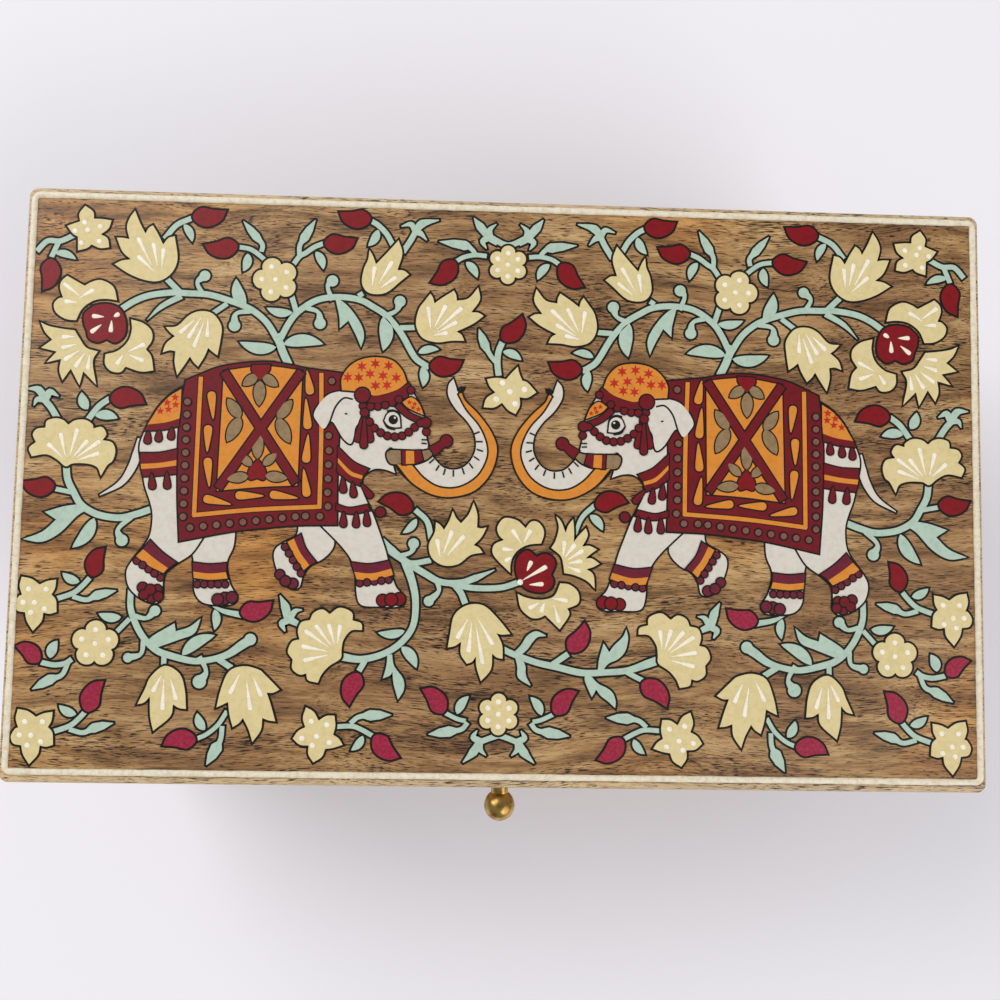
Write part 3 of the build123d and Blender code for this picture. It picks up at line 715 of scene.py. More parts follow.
buds_both = [
    ((-120.1, 57.9), (-122, 49.5), 1), ((-84.2, 70), (-75.4, 72.2), -1), ((-71.9, 62.5), (-80.8, 62.8), 1),
    ((-49.4, 64), (-41, 65.6), -1), ((-37.2, 70.8), (-45.6, 72.7), 1), ((-14.5, 60.3), (-20.9, 54.5), 1),
    ((-20.7, 31.8), (-12.2, 33.6), -1), ((-103.4, 21.6), (-94.4, 20.2), 1), ((-116.4, -2), (-124.6, -0.8), 1),
    ((-106, -24.8), (-103, -17.5), 1), ((-105.8, -59), (-101.6, -51.3), 1), ((-117.8, -46.5), (-124.1, -42.8), -1),
    ((-77.7, -65.5), (-86, -67.2), -1), ((-67.7, -33.8), (-59.8, -30.4), -1), ((-32.8, -64.2), (-26.1, -69.5), -1),
    ((-14.7, -58), (-20.7, -52.2), -1),
]
buds_single = [
    ((-24.2, -5.8), (-32.8, -4), -1), ((-37.2, -48.2), (-39.2, -56.5), -1), ((23.4, -3.7), (31.9, -2.9), 1),
    ((17.3, -42.2), (21.1, -34.4), -1), ((36.3, -49.3), (42.7, -55.9), 1), ((-1.6, 39.2), (3.4, 46.2), -1),
]
for buds, both in ((buds_both, True), (buds_single, False)):
    for base, tip, side in buds:
        paint("rose" if base[1] < -30 else "crimson", local(BUD, base, tip, side), FLOWER, both=both)

# Five pointed blossoms, each an outline and its dots

star_b = [
    (-123.5, -25.2, S), (-121, -25.7), (-118.9, -27.1, S), (-117, -26.2), (-114.8, -25.8, S), (-115, -28),
    (-115.8, -29.6, S), (-114.6, -31), (-114.3, -34, S), (-116, -34.5), (-117.6, -34.2, S), (-118, -36.5),
    (-120, -38.9, S), (-121.6, -36.5), (-122.2, -34.2, S), (-124.2, -33.8), (-124.9, -32), (-124, -30.2),
    (-123.2, -29.8, S), (-123.9, -27.5)]
star_b_drops = [(-121.6, -28.3), (-117.2, -28.3), (-119.9, -31.7), (-122.8, -31.7), (-117.4, -33.3), (-120.7, -34.2)]
stars_both = [
    ([(-112.2, 72.3, S), (-113.6, 70.2), (-113.3, 68.1, S), (-116.6, 66.8, S), (-115.1, 64.8), (-113.7, 64, S),
      (-113.5, 60.3, S), (-111.2, 61), (-110.1, 62, S), (-107.8, 61.1), (-105.5, 61.4, S), (-106, 63.7),
      (-107.8, 64.8, S), (-105.9, 66.4), (-105.2, 68.6, S), (-107.8, 68.9), (-109.8, 68.9, S), (-110.1, 70.8)],
     [(-112.1, 67.8), (-111.2, 65.8), (-108, 66.9), (-108.1, 62.9), (-112.7, 62.3), (-114.5, 65.5)]),
    (star_b, star_b_drops),
    (shifted(star_b, (0.8, -33.4)), shifted(star_b_drops, (0.8, -33.4))),
    ([(-50.2, -57.2, S), (-48.2, -58.3), (-46.9, -60.5, S), (-45, -59.3), (-42.9, -59.2, S), (-42.6, -61.8),
      (-43.1, -64, S), (-41.6, -65), (-40.6, -66.5, S), (-43, -67.3), (-45, -67.6, S), (-45.8, -69.6),
      (-47.9, -71, S), (-49.2, -69), (-49.2, -66.8, S), (-51.5, -66.6), (-53.3, -65.1, S), (-52, -63.2),
      (-50.2, -62.2, S), (-50.9, -59.9)],
     [(-48.7, -60.7), (-44.8, -61.5), (-47.3, -64.5), (-48.3, -66.8), (-44, -66), (-51, -65)]),
]
for points, spots in stars_both:
    paint("cream", outline(points), FLOWER)
    for x, y in spots:
        relief(disc(x, y, DOT, 12))
paint("cream", outline([
    (-5.6, 28.9, S), (-3, 29.3), (-0.5, 29, S), (0.8, 30.6), (2.5, 32.4, S), (3, 30.4), (3.8, 28.7, S), (5.2, 28.2),
    (7.5, 25.7, S), (5.2, 24.2), (3.1, 24.3, S), (3.2, 22), (2.1, 19.8, S), (0.2, 20.8), (-1.5, 22.7, S),
    (-3.6, 21.4), (-6.3, 21.4, S), (-5.6, 23.8), (-3.3, 25.4, S), (-4.8, 27)]), FLOWER, both=False)
for x, y in [(-1.5, 28), (0.5, 25.7), (2, 22.5), (-3, 23.6), (4.4, 26.4)]:
    relief(disc(x, y, 0.85, 12), both=False)

# Round flowers

for x, y, radius, lobes, turn, both in [
    (-61.8, 54, 5.9, 5, 180, True), (-104.2, -41.9, 5.9, 5, 90, True), (-0.6, 59.8, 5.2, 6, 90, False),
    (-0.9, -58.3, 5.3, 6, 90, False),
]:
    paint("cream", rosette(x, y, radius, lobes, turn), FLOWER, both=both)
    relief(disc(x, y, 0.7, 12), both=both)
    for k in range(lobes):
        angle = math.radians(turn + 360 * k / lobes)
        relief(disc(x + 0.6 * radius * math.cos(angle), y + 0.6 * radius * math.sin(angle), DOT, 12), both=both)

# Tulips and fans, each an outline and its raised strokes from head to tail

tulips_both = [
    ([(-99.2, 71.4, S), (-97.8, 68.2), (-96.2, 65.3, S), (-95.5, 66.8), (-94.4, 67.6, S), (-93, 65.4),
      (-91.5, 62.5, S), (-90.2, 64.3), (-88.6, 64.8, S), (-87.6, 58.9), (-88.9, 55.1), (-92, 52.8), (-95.8, 52.9),
      (-100.1, 54.5), (-103.9, 56.9, S), (-102, 57.9), (-99.7, 58.3, S), (-102, 60.4), (-103.6, 64, S),
      (-101.9, 64), (-100.3, 63.7, S), (-101.1, 67), (-100.4, 69.5)],
     [(-97.8, 63.6, -93.9, 56.4), (-97.5, 58.9, -93, 54.8), (-93.9, 62.3, -92.6, 56.4), (-91.3, 60.8, -91.6, 56)]),
    ([(-89.9, 40.5, S), (-86.9, 40.9), (-84, 43.8), (-81.1, 45), (-77.8, 44.4), (-75.5, 41.2), (-75.6, 37.4),
      (-76.2, 33.4, S), (-77.4, 34.2), (-78.7, 35.3, S), (-79.6, 32.9), (-81.1, 30.3, S), (-82.3, 31.4),
      (-83.3, 32.9, S), (-84.3, 31.2), (-86.4, 27.9, S), (-87.2, 31.2), (-87.1, 34.2, S), (-88.6, 34.4),
      (-90.4, 33.8, S), (-89.6, 36.2), (-87.4, 38.2, S), (-88.6, 39.1)],
     [(-83.7, 38.2, -80.5, 43.8), (-85.8, 39.4, -82.2, 42.9), (-79, 38.7, -79, 43.5), (-82.2, 35.9, -79.9, 42.4)]),
    ([(-37.4, 62.7, S), (-36.4, 61), (-35.6, 58.9, S), (-32.8, 62), (-29.8, 65.6, S), (-28.7, 62), (-29.9, 57.5, S),
      (-28.2, 57.4), (-26.8, 56.4, S), (-29, 54.5), (-32.8, 51.3), (-37.1, 51.1), (-39.1, 53.6), (-38.7, 57.6),
      (-37.7, 60.1)],
     [(-35.9, 57.6, -36.5, 52.6), (-31.5, 59.3, -34.9, 53.3), (-30.6, 55.3, -34.4, 52.3)]),
    ([(-21, 51.4, S), (-20.3, 50.3), (-19.9, 48.8, S), (-17.8, 50.4), (-14.8, 52.4, S), (-14.2, 51.2),
      (-14, 49.7, S), (-10.9, 50.4), (-8.4, 53.4, S), (-7.9, 50.1), (-10.1, 46.7, S), (-8.2, 46.6),
      (-6.8, 45.8, S), (-9.6, 43.6), (-13.9, 41.4, S), (-12.6, 40.6), (-11.8, 39, S), (-15.3, 38.9), (-19, 38.4),
      (-22.8, 39.5), (-24.6, 42.9), (-24, 47), (-22.4, 49.5)],
     [(-21.4, 47.2, -20.6, 41.4), (-17, 47.9, -20, 41.8), (-12.9, 47.5, -19.4, 41.4), (-14.3, 43.7, -19.3, 40.8),
      (-16.8, 40.9, -20.3, 40.1)]),
    ([(-92.9, -57, S), (-91.1, -53.1), (-89.8, -50), (-86.4, -47.2), (-82.6, -49.1), (-81.1, -53.1),
      (-80.6, -58, S), (-82.3, -57.8), (-83.9, -56.9, S), (-84.5, -60), (-88.6, -63.6, S), (-89.5, -60),
      (-89.8, -55, S), (-91.2, -56.5)],
     [(-88.9, -53.3, -87, -49.4), (-86.5, -57.8, -86.4, -50), (-83.3, -55.2, -84.9, -50)]),
    ([(-72.9, -57.5, S), (-72, -53.1), (-70.1, -48.4), (-66.4, -47), (-62.6, -47.8), (-60.9, -49.1),
      (-57.1, -52.8, S), (-58.7, -53.6), (-60.3, -53.6, S), (-59.1, -56.9), (-57.9, -60.8, S), (-59.6, -60.6),
      (-61.2, -60, S), (-61.5, -63.1), (-63.5, -66.1, S), (-64.5, -63.1), (-66.1, -60.1, S), (-67.1, -61.4),
      (-68.6, -62.4, S), (-69.5, -59.4), (-70, -56.1, S), (-71.4, -56.8)],
     [(-69.4, -53.5, -67.2, -48.8), (-64.4, -57.5, -65.6, -50), (-61.9, -54, -64, -49.4)]),
    ([(-122.6, 5.8, S), (-123.4, 7.9), (-121.7, 9.5, S), (-122.6, 11.4), (-121.7, 12.9), (-119.5, 13.3, S),
      (-119.2, 15.1), (-117, 15.8), (-115.1, 15.4), (-113.7, 14.2, S), (-112, 15.4), (-109.5, 15.6),
      (-107.6, 14.5), (-107.3, 13.4, S), (-105.1, 13.8), (-103.9, 12), (-104.8, 10.4, S), (-102.3, 9.8),
      (-101.4, 7.6), (-102, 5.1), (-103.3, 3.9), (-104.8, 1.1, S), (-105.8, 3.3), (-108.3, 4.2), (-112, 4.2),
      (-113.9, 3.4), (-116.1, 5.1), (-118.9, 6.4)],
     [(-115.4, 11.4, -113.9, 5.6), (-111.4, 12.7, -113, 5.6), (-118.2, 8.8, -114.4, 5.4),
      (-108.9, 9.8, -112.4, 5.4), (-105.8, 9.8, -111.6, 5.4), (-106, 6.8, -111.2, 4.9)]),
    ([(-47.4, -50.9, S), (-46.5, -48.8), (-44.6, -46.6), (-41.8, -44.7), (-41.6, -42.5), (-41.2, -40),
      (-39.3, -37.5), (-36.5, -37.3, S), (-36.8, -35.6), (-39, -34.9, S), (-39.3, -32.8), (-42.4, -31.7),
      (-44.9, -33.4, S), (-46.8, -32.2), (-49, -33.1), (-49.9, -35, S), (-52.1, -35.6), (-52.9, -37.8),
      (-52.4, -40, S), (-54.3, -40.6), (-55.3, -43.1), (-54, -45.1, S), (-54, -47.5), (-52.1, -48.9),
      (-50.4, -48.6, S), (-49.9, -50.3)],
     [(-50.6, -38, -44.4, -42.2), (-48, -36.8, -43.9, -41.8), (-44.9, -36.5, -43.3, -41.4),
      (-42.2, -36.7, -42.7, -41.2), (-51.2, -41.8, -44.6, -43), (-50.6, -45.2, -44.8, -43.8)]),
]
tulips_single = [
    ([(-18.1, -9.1, S), (-16.9, -9.9), (-16, -11.1, S), (-14.6, -8.6), (-13.8, -6.1, S), (-12.9, -7.9),
      (-11.6, -9.3, S), (-9.6, -6.9), (-8.4, -3.8, S), (-7.4, -6.9), (-7.4, -10.3, S), (-6.2, -10.5),
      (-4.9, -10.2, S), (-6.2, -12.8), (-8.2, -14.9, S), (-6.8, -15.5), (-5.8, -16.8, S), (-9, -17.5),
      (-12.1, -19.9), (-15.9, -20.3), (-19, -18.4), (-19.8, -15), (-18.4, -11.9)],
     [(-17.6, -14.1, -16.8, -18.4), (-14, -11.8, -16.2, -17.6), (-11, -12.9, -15.3, -18.1)]),
    ([(-14.3, -41.4, S), (-13.7, -37.5), (-12.8, -33.1), (-9.6, -30.5), (-5.3, -30.5), (-1.5, -33.8),
      (1.8, -37.7, S), (-0.5, -37.9), (-1.8, -37.5, S), (-0.3, -40.5), (-0.1, -44.1, S), (-1.6, -43.8),
      (-2.8, -42.8, S), (-3.1, -46.9), (-5.6, -49.9, S), (-6.8, -46.3), (-7, -43.6, S), (-8, -45), (-9.3, -45.5, S),
      (-10.9, -43.1), (-10.9, -39.9, S), (-12.5, -41)],
     [(-11.7, -38.6, -9, -33.6), (-3, -40, -7, -33.4), (-5.3, -45, -7.4, -34.4), (-8.9, -42, -8.2, -34.4)]),
]
for flowers, both in ((tulips_both, True), (tulips_single, False)):
    for points, heads in flowers:
        paint("cream", outline(points), FLOWER, both=both)
        for x, y, u, v in heads:
            relief(drop((x, y), (u, v), DROP), both=both)

# The large flower with a crimson heart, at each upper corner

for points in [
    [(-115.9, 53.4, S), (-113.9, 52.3), (-111.3, 50.9, S), (-109.5, 52), (-107, 52.5), (-103.9, 50.8),
     (-102.8, 47.3, S), (-105.8, 47.6), (-108.9, 47), (-111.7, 44.8), (-113.1, 41.7, S), (-115.8, 42),
     (-118.3, 43.6), (-119, 45.8), (-117.9, 47.3), (-116.7, 47.6, S), (-117.6, 50.1), (-117.3, 52)],
    [(-98.9, 42.3, S), (-95.8, 41.4), (-93.6, 39.5), (-93.3, 37), (-94.8, 34.5, S), (-93.3, 32.6), (-92.6, 29, S),
     (-95.8, 28.6), (-99.8, 29.8, S), (-101.1, 28.3), (-103.6, 28.6), (-105.1, 30.4), (-105.1, 32.9, S),
     (-102, 33.9), (-99.5, 36.4), (-98.6, 39.5)],
    [(-122.1, 40.9, S), (-120.1, 40), (-117, 39.4), (-113.3, 39, S), (-112, 37), (-110.1, 34.5), (-107.1, 33.6, S),
     (-108.3, 30.8), (-107.1, 24.8, S), (-110.6, 28.3, S), (-111.4, 24.6, S), (-113.8, 28.9, S), (-115.8, 25.8, S),
     (-116.7, 28.3), (-116.4, 31.4, S), (-120.1, 30.4, S), (-117.6, 33.3, S), (-121.7, 34.2, S), (-118.9, 36.4, S),
     (-120.8, 38.3)],
]:
    paint("cream", outline(points), FLOWER)
paint("crimson", outline([
    (-108.3, 45.8), (-105.1, 46.2), (-102, 45.1), (-100.4, 42), (-100.4, 38.2), (-102.6, 36.1), (-105, 37, S),
    (-107.3, 36.1), (-109.5, 37), (-110.1, 38.9), (-110.9, 40.8), (-111.1, 43.2), (-109.8, 44.8)]), FLOWER)
for points in [
    [(-1, -8.2), (0.5, -7.6), (3.2, -8.3), (5.3, -10.2, S), (6.7, -8.5), (8.4, -8.5), (9.8, -10), (10.1, -11.9),
     (9.4, -14.1, S), (6.1, -14.5), (3.6, -15.8), (2.1, -17.7), (1.5, -19.8), (1.5, -21.9, S), (0.1, -20.6),
     (-1.8, -18.8), (-3.2, -16.8), (-2.8, -14.6), (-0.3, -13.4, S), (-1.6, -12.2), (-2.1, -10.2)],
    [(12.1, -15.2, S), (13.2, -13.3), (14, -9.9), (13.3, -6.9, S), (14.6, -8.3), (15.8, -11.2, S), (16.5, -9.2),
     (17.7, -7.6, S), (18, -10.5), (18, -13.5, S), (19.4, -11.7), (21.1, -9.9, S), (21.6, -11.9), (20.2, -14.7, S),
     (22.1, -14.5), (24.1, -15.4, S), (22.6, -16.5), (21.1, -17.8, S), (22.8, -17.8), (24.8, -19.1, S),
     (23.2, -20), (21.4, -20.6, S), (23.2, -22), (23.6, -25.6, S), (21.5, -23.6), (18.2, -22.2), (15.6, -21.7, S),
     (15.3, -19.6), (14.6, -17.3)],
    [(14.6, -24.4, S), (17, -24.7), (19.2, -26.5), (19.4, -29.4), (16.5, -30.9, S), (17, -32.6), (14.6, -36.3, S),
     (13, -34.8), (10.8, -32.7, S), (9, -33.5), (6.9, -33.3), (4.4, -31), (3.5, -27.3, S), (5.2, -28.1),
     (7.9, -28.7), (10.9, -28.6), (13.2, -27.5)],
]:
    paint("cream", outline(points), FLOWER, both=False)
paint("crimson", outline([
    (4.1, -24.4), (3, -21.5), (3, -19.2), (3.8, -17.3), (6, -16), (8.3, -17.7, S), (10, -16.9), (11.9, -17.3),
    (13.2, -19.2), (12.1, -22.2, S), (12.8, -23.9), (12, -25.8), (9.6, -26.8), (6.2, -26.2)]), FLOWER, both=False)
relief(disc(4.1, -24.3, 0.8, 12), both=False)
for x, y, u, v in [
    (10.4, -20.4, 4.5, -23.9), (6.7, -19.4, 5.8, -21.4), (9.5, -24.7, 6.4, -24.9), (15.5, -14, 15.2, -17.6),
    (18, -14.6, 15.6, -17.8), (20, -16, 16.2, -18.4), (19.6, -18.6, 16.4, -19.2), (19.2, -21, 16.2, -20),
    (2.2, -11.2, 4.4, -14.4), (6.4, -11.2, 4.8, -14.2), (0, -15.8, 2.6, -16), (0.6, -18.6, 1.8, -17.8),
    (16, -28.8, 12.2, -28.3), (14.2, -34, 13, -29.8), (9.9, -31.4, 10.6, -29.4), (7, -30.8, 9.4, -29.4),
]:
    relief(drop((x, y), (u, v), DROP), both=False)
for x, y, u, v in [
    (-116.2, 51, -112, 47.9), (-109.4, 49.6, -112.8, 47.4), (-115.6, 46.6, -112.8, 46.4), (-95.6, 35.6, -99.5, 33.6),
    (-95.8, 31.6, -99.4, 33), (-101.8, 30.8, -100.4, 33), (-115.8, 34.4, -112.4, 35.4), (-115.1, 31.4, -111.4, 34),
    (-112.4, 29.8, -110.2, 33.4), (-109.4, 29.4, -109, 33), (-115.8, 37.2, -112.9, 37.4),
    (-108.3, 42.9, -105.8, 42.8), (-104, 39.5, -103.9, 42), (-108.6, 39, -106.4, 40.8), (-102.6, 43.4, -103.4, 42.9),
]:
    relief(drop((x, y), (u, v), DROP))

# Elephant: far legs, tail, body, then its dress. All on both halves.

FAR, BODY, DRESS, TRIM, STUD = 1, 2, 3, 4, 5
# widths of the black lines, and the radius of the beads and studs
CONTOUR, THIN, FINE, HAIR = 0.48, 0.4, 0.36, 0.22
BEAD = 0.85


def elephant(colour, shape, level, ink=CONTOUR):
    """A shape of the elephant, on both halves of the lid."""
    paint(colour, shape, level, ink=ink, group="elephant")


elephant("white", ribbon([(-95, 11), (-95.8, 7), (-97.2, 3), (-99.8, -0.8), (-104.8, -3.9)],
                         [1.6, 2.2, 2, 1.4, 0.2]), FAR)
elephant("white", outline([
    (-52.8, -9), (-54, -13.2), (-57.1, -15.1), (-59.4, -17), (-59.5, -20), (-57.6, -24.7), (-55, -26.9),
    (-52.9, -26.5), (-52.1, -23.5), (-50.3, -20.9), (-47.4, -19.4), (-45, -17), (-44.4, -14.4), (-46, -9)]), FAR)
elephant("white", outline([
    (-78.8, -10), (-70, -9), (-69.9, -12.6), (-70.2, -16.5), (-71.6, -20), (-71.6, -22.9), (-70.5, -26.5),
    (-68.8, -29.4), (-69.9, -31.2), (-73.4, -31.5), (-77.5, -30.9), (-79.6, -28.2), (-79.8, -23.5), (-80.2, -20),
    (-80.8, -16)]), FAR)
elephant("white", outline([
    (-84.9, 24.7), (-89.9, 20.6), (-92.8, 15.9), (-94.3, 12.4), (-95.2, 8.8), (-94.3, 3.5), (-93.4, -1.2),
    (-91.9, -5.3), (-91.1, -8.8), (-91.4, -13.5), (-92.8, -16.5), (-95.8, -20.6), (-97.1, -23.5), (-96.4, -27.1),
    (-94.3, -29.4), (-91.6, -30.9), (-89, -31.2), (-87.8, -29.4), (-87.8, -25.9), (-87.2, -23.5), (-84.6, -21.2),
    (-80.8, -18.5), (-78.1, -14.4), (-76, -11, S), (-60, -9), (-48.2, -10.2, S), (-44.4, -13.8), (-41.8, -16.5),
    (-39.7, -19.4), (-38.5, -22.9), (-38.1, -28.2), (-36.8, -30.9), (-32.4, -31.2), (-27.1, -31.1), (-25.7, -29.4),
    (-26.8, -27.6), (-28.2, -25.9), (-29.7, -21.8), (-30.9, -17.1), (-32.6, -12.4), (-34.7, -7.1), (-36.8, -2.9),
    (-37.6, -0.6), (-37.4, 2.4), (-34.7, 4.4), (-31.8, 4.4), (-29.1, 3.5, S), (-29.7, 5.6), (-29.4, 6.4, S),
    (-24, 6), (-20.5, 8.4), (-20.5, 10), (-21.5, 14.7), (-21.8, 18.2), (-23.5, 22.4), (-26.8, 26.5), (-34, 30),
    (-41, 28, S), (-47, 26), (-60, 28), (-75, 28)]), BODY)

# Trunk, marigold outside and bone white inside
trunk_inner = [(-15.6, 27.1), (-15.6, 24.1), (-13.5, 20.6), (-10.6, 17.6), (-8.5, 14.1), (-8.2, 10), (-10, 6.5),
               (-12.9, 4.8), (-16.5, 5.2), (-19.4, 7.9)]
trunk_outer = [(-28.6, 5.8), (-24.7, 1.2), (-19.4, -1.8), (-14.1, -2.4), (-8.2, -0.6), (-4.1, 4.1), (-2.6, 10),
               (-4.1, 14.7), (-7.6, 19.4), (-11.2, 22.9), (-12.2, 25)]
trunk_seam = [(-12.9, 24.6), (-10.6, 20.6), (-7.1, 16.5), (-5, 11.8), (-5, 7.6), (-7.6, 2.9), (-12.4, 0), (-17.6, 0),
              (-21.8, 2.4), (-25.5, 6.2)]
elephant("white", outline([(-14.4, 28.7, S), *trunk_inner, (-21, 9, S), (-24, 8, S), *trunk_outer,
                           (-11.6, 26.3, S), (-13.2, 25.4), (-13.6, 26.4)]), BODY)
elephant("orange", outline([(*trunk_outer[0], S), *trunk_outer[1:], (*trunk_seam[0], S), *trunk_seam[1:]]), DRESS)
stroke([(-12.6, 25), (-12.4, 26.2), (-11.6, 26.2)], TRIM, 1.1)
for x, y in [(-19, 7.4), (-17.6, 5.8), (-16, 4.9), (-13.9, 4.6), (-11.6, 5.2), (-9.8, 6.5), (-8.6, 8.3), (-7.9, 10.2),
             (-8.1, 12.2), (-8.8, 14.2)]:
    away = np.array([x + 14, y - 12]) / math.hypot(x + 14, y - 12)
    stroke([(x, y), (x + 1.7 * away[0], y + 1.7 * away[1])], TRIM, THIN)

# Tusk with its bands
elephant("bare", outline([(-30.6, 9.4), (-27.1, 9.4), (-22.4, 9.4), (-20, 9.8), (-19.4, 8.8), (-21.2, 7.1),
                          (-24.7, 5.9), (-28.8, 5.8), (-30.6, 6.2), (-31.4, 8.2)]), DRESS)
elephant("orange", outline([(-26.4, 9.4, S), (-24.3, 9.4, S), (-24.1, 6.1, S), (-26.3, 5.9, S)]), TRIM, FINE)
elephant("maroon", outline([(-27.4, 9.5, S), (-26.4, 9.4, S), (-26.3, 5.8, S), (-27.2, 5.8, S)]), TRIM, FINE)
elephant("maroon", outline([(-24.2, 9.5, S), (-22.6, 9.6, S), (-21.9, 7.1, S), (-24.1, 5.9, S)]), TRIM, FINE)
elephant("maroon", ribbon([(-19.6, 9.4), (-18.2, 10.4), (-16.9, 11.4)], [2.6, 2.2, 1.8]), TRIM, FINE)
elephant("maroon", disc(-15.9, 12.2, 1.5), TRIM, THIN)

# Saddle cloth
elephant("maroon", outline([
    (-84, 26.5, S), (-79.5, 28.6), (-75.2, 30.3), (-68.7, 31.5), (-62.8, 31.9), (-56.9, 31.2), (-53.4, 30.5),
    (-48.1, 29.9), (-43.5, 29.4, S), (-43.8, 20), (-44.1, 4), (-43.8, -10.3, S), (-54, -10.6), (-62.8, -11.5),
    (-71.1, -12.6), (-84, -15.3, S), (-84.9, -2.9), (-85.3, 11.8), (-84.6, 22)]), DRESS)
for path in [[(-80.2, 27.6), (-80.4, 10), (-80.5, -8.8)], [(-80.9, -8.6), (-65, -6.8), (-48, -5.7)],
             [(-49, 29.4), (-48.5, 12), (-48.4, -6)]]:
    elephant("orange", ribbon(path, 1.1), TRIM, HAIR)
for x, y in [*np.linspace((-83.4, 20.9), (-83.3, -9), 10), *np.linspace((-81.4, -11.8), (-54.5, -8.4), 9),
             (-51.9, -8.2), (-48.2, -8.2), (-46.2, -5.6), (-46.4, -2), (-46.4, 1.6), (-46.4, 5.3), (-46.4, 9),
             (-46.6, 12.9), (-46.2, 27.3)]:
    elephant("stud", disc(x, y, BEAD, 12), STUD, FINE)
elephant("orange", outline([(-74.3, 29.3, S), (-64, 30.8), (-54, 29.9, S), (-54.3, -0.3, S), (-64, -0.9),
                            (-74.9, -2.1, S)]), TRIM, THIN)
for path in [[(-74.2, 29), (-54.7, 0.4)], [(-54.2, 29.6), (-74.6, -1.4)]]:
    elephant("maroon", ribbon(path, 2.1), STUD, THIN)
elephant("crimson", outline([(-67, 31, S), (-62.4, 31.2, S), (-62.6, 29.6), (-64.8, 27, S), (-67, 29.4)]), STUD, THIN)
elephant("crimson", outline([(-64.7, 6.4, S), (-62.6, 3.4), (-62.9, 1), (-64.7, 1.4, S), (-66.6, 1), (-66.9, 3.4)]),
         STUD, THIN)
for base, tip, width in [
    ((-64.9, 26.9), (-64.9, 20.3), 3), ((-65.6, 28.4), (-69.3, 25.6), 2.6), ((-64.2, 28.4), (-60.2, 25.6), 2.6),
    ((-64.8, 6.4), (-64.9, 14.7), 2.9), ((-66.2, 4.6), (-69.4, 7.5), 2.2), ((-63.2, 4.8), (-59.9, 7.9), 2.2),
    ((-67, 1.9), (-72.4, 0.9), 2.6), ((-62.6, 2.1), (-56.9, 1.5), 2.6), ((-69.6, 17.1), (-73.1, 22), 2.9),
    ((-69.6, 17.1), (-72.8, 10.7), 3.2), ((-59.9, 17.1), (-56.4, 22), 2.9), ((-59.9, 17.1), (-56.6, 10.7), 3.2),
]:
    elephant("bare", leaf(base, tip, width, bend=0, fullness=0.7), STUD, FINE)
for head, tail in [
    ((-77.2, 22.4), (-76.6, 16.5)), ((-77.8, 13.5), (-77.8, 7.9)), ((-77.5, 5), (-76.9, -1.2)),
    ((-51.9, 25), (-52.8, 30)), ((-52.2, 15.9), (-52.8, 22.6)), ((-52.2, 7.1), (-51.9, 13.2)),
    ((-51.9, -1.8), (-52.8, 4.1)), ((-76.9, -4.4), (-71.1, -5.6)), ((-68.7, -3.2), (-62.8, -3.2)),
    ((-59.9, -2.9), (-54, -3.6)),
]:
    elephant("orange", drop(head, tail, 1.4), TRIM, THIN)

# Ear, over the cloth
elephant("white", outline([
    (-50.6, 18.5), (-49.1, 21.5), (-46.8, 23.8), (-43.5, 24.7), (-40, 24.6), (-38, 23, S), (-38, 18), (-39.7, 15.3),
    (-40.1, 12.6), (-40.9, 10.9), (-42.9, 12.4), (-45.3, 16.2), (-46.5, 16.5), (-47.9, 14.7), (-49.7, 16.5)]), TRIM)
stroke([(-40.6, 22.6), (-42.9, 22.9), (-45, 20.6), (-46.2, 17.1), (-46.8, 15.4)], STUD)

# Cap, brow band, forehead patch, beads and tassel
elephant("orange", outline([
    (-43.5, 25, S), (-43.6, 28.2), (-41.8, 31.2), (-38.8, 33.2), (-34.7, 33.9), (-30.6, 33.2), (-27.9, 30.6),
    (-26.6, 27.4, S), (-29.4, 25.3), (-34.1, 23.8), (-36.5, 24.1), (-39.4, 24.7)]), STUD)
for x, y in [(-38.5, 31.4), (-35, 32.2), (-31.5, 31.8), (-42.1, 28.4), (-39.2, 28.4), (-36.3, 29.5), (-32.9, 29.1),
             (-29.4, 28.6), (-34.8, 26.4), (-31.8, 26.6)]:
    elephant("red", spark(x, y, 1.45), STUD + 1, 0)
elephant("maroon", ribbon([(-37, 22.9), (-32.9, 22.9), (-29.4, 24.1), (-25.6, 26.4)], 1.9), STUD, THIN)
for number, (x, y) in enumerate([
    (-37.9, 20.9), (-35.9, 20.8), (-34, 20.9), (-32.1, 21.3), (-30.3, 22), (-28.6, 22.9), (-27.1, 24.1),
    (-25.5, 25.4), (-37.2, 18.5), (-36.1, 16.8), (-34.8, 15.2), (-33.1, 14), (-31.3, 13.2), (-29.4, 13),
    (-27.5, 13.3), (-25.8, 14.3), (-24.3, 15.6), (-22.8, 16.8), (-21.2, 14.5),
]):
    elephant("maroon", disc(x, y, BEAD, 12), STUD + number % 2, FINE)
elephant("maroon", disc(-38.1, 23.8, 1.9), STUD + 1, THIN)
elephant("orange", outline([(-27.6, 22.2, S), (-25.3, 23.5), (-23.2, 21.8), (-22, 18.9, S), (-24.7, 20),
                            (-26.5, 21)]), STUD, THIN)
for x, y in [(-25.8, 22.2), (-24.4, 21.8), (-23.4, 20.4), (-24.8, 20.8)]:
    elephant("red", spark(x, y, 0.7, 5), STUD + 1, 0)
elephant("maroon", ribbon([(-28.9, 21.4), (-25.9, 18.8), (-21.8, 17.1)], 1.4), STUD, FINE)
elephant("maroon", disc(-21.4, 16.9, 1.2), STUD + 1, THIN)
for number, (head, tail) in enumerate([((-38.9, 12.6), (-37.7, 19)), ((-35.9, 12.6), (-37, 19)),
                                       ((-37.4, 11), (-37.4, 19))]):
    elephant("maroon", drop(head, tail, 1.15), STUD + number // 2, FINE)
elephant("maroon", disc(-37.4, 19.2, 1), STUD + 2, FINE)

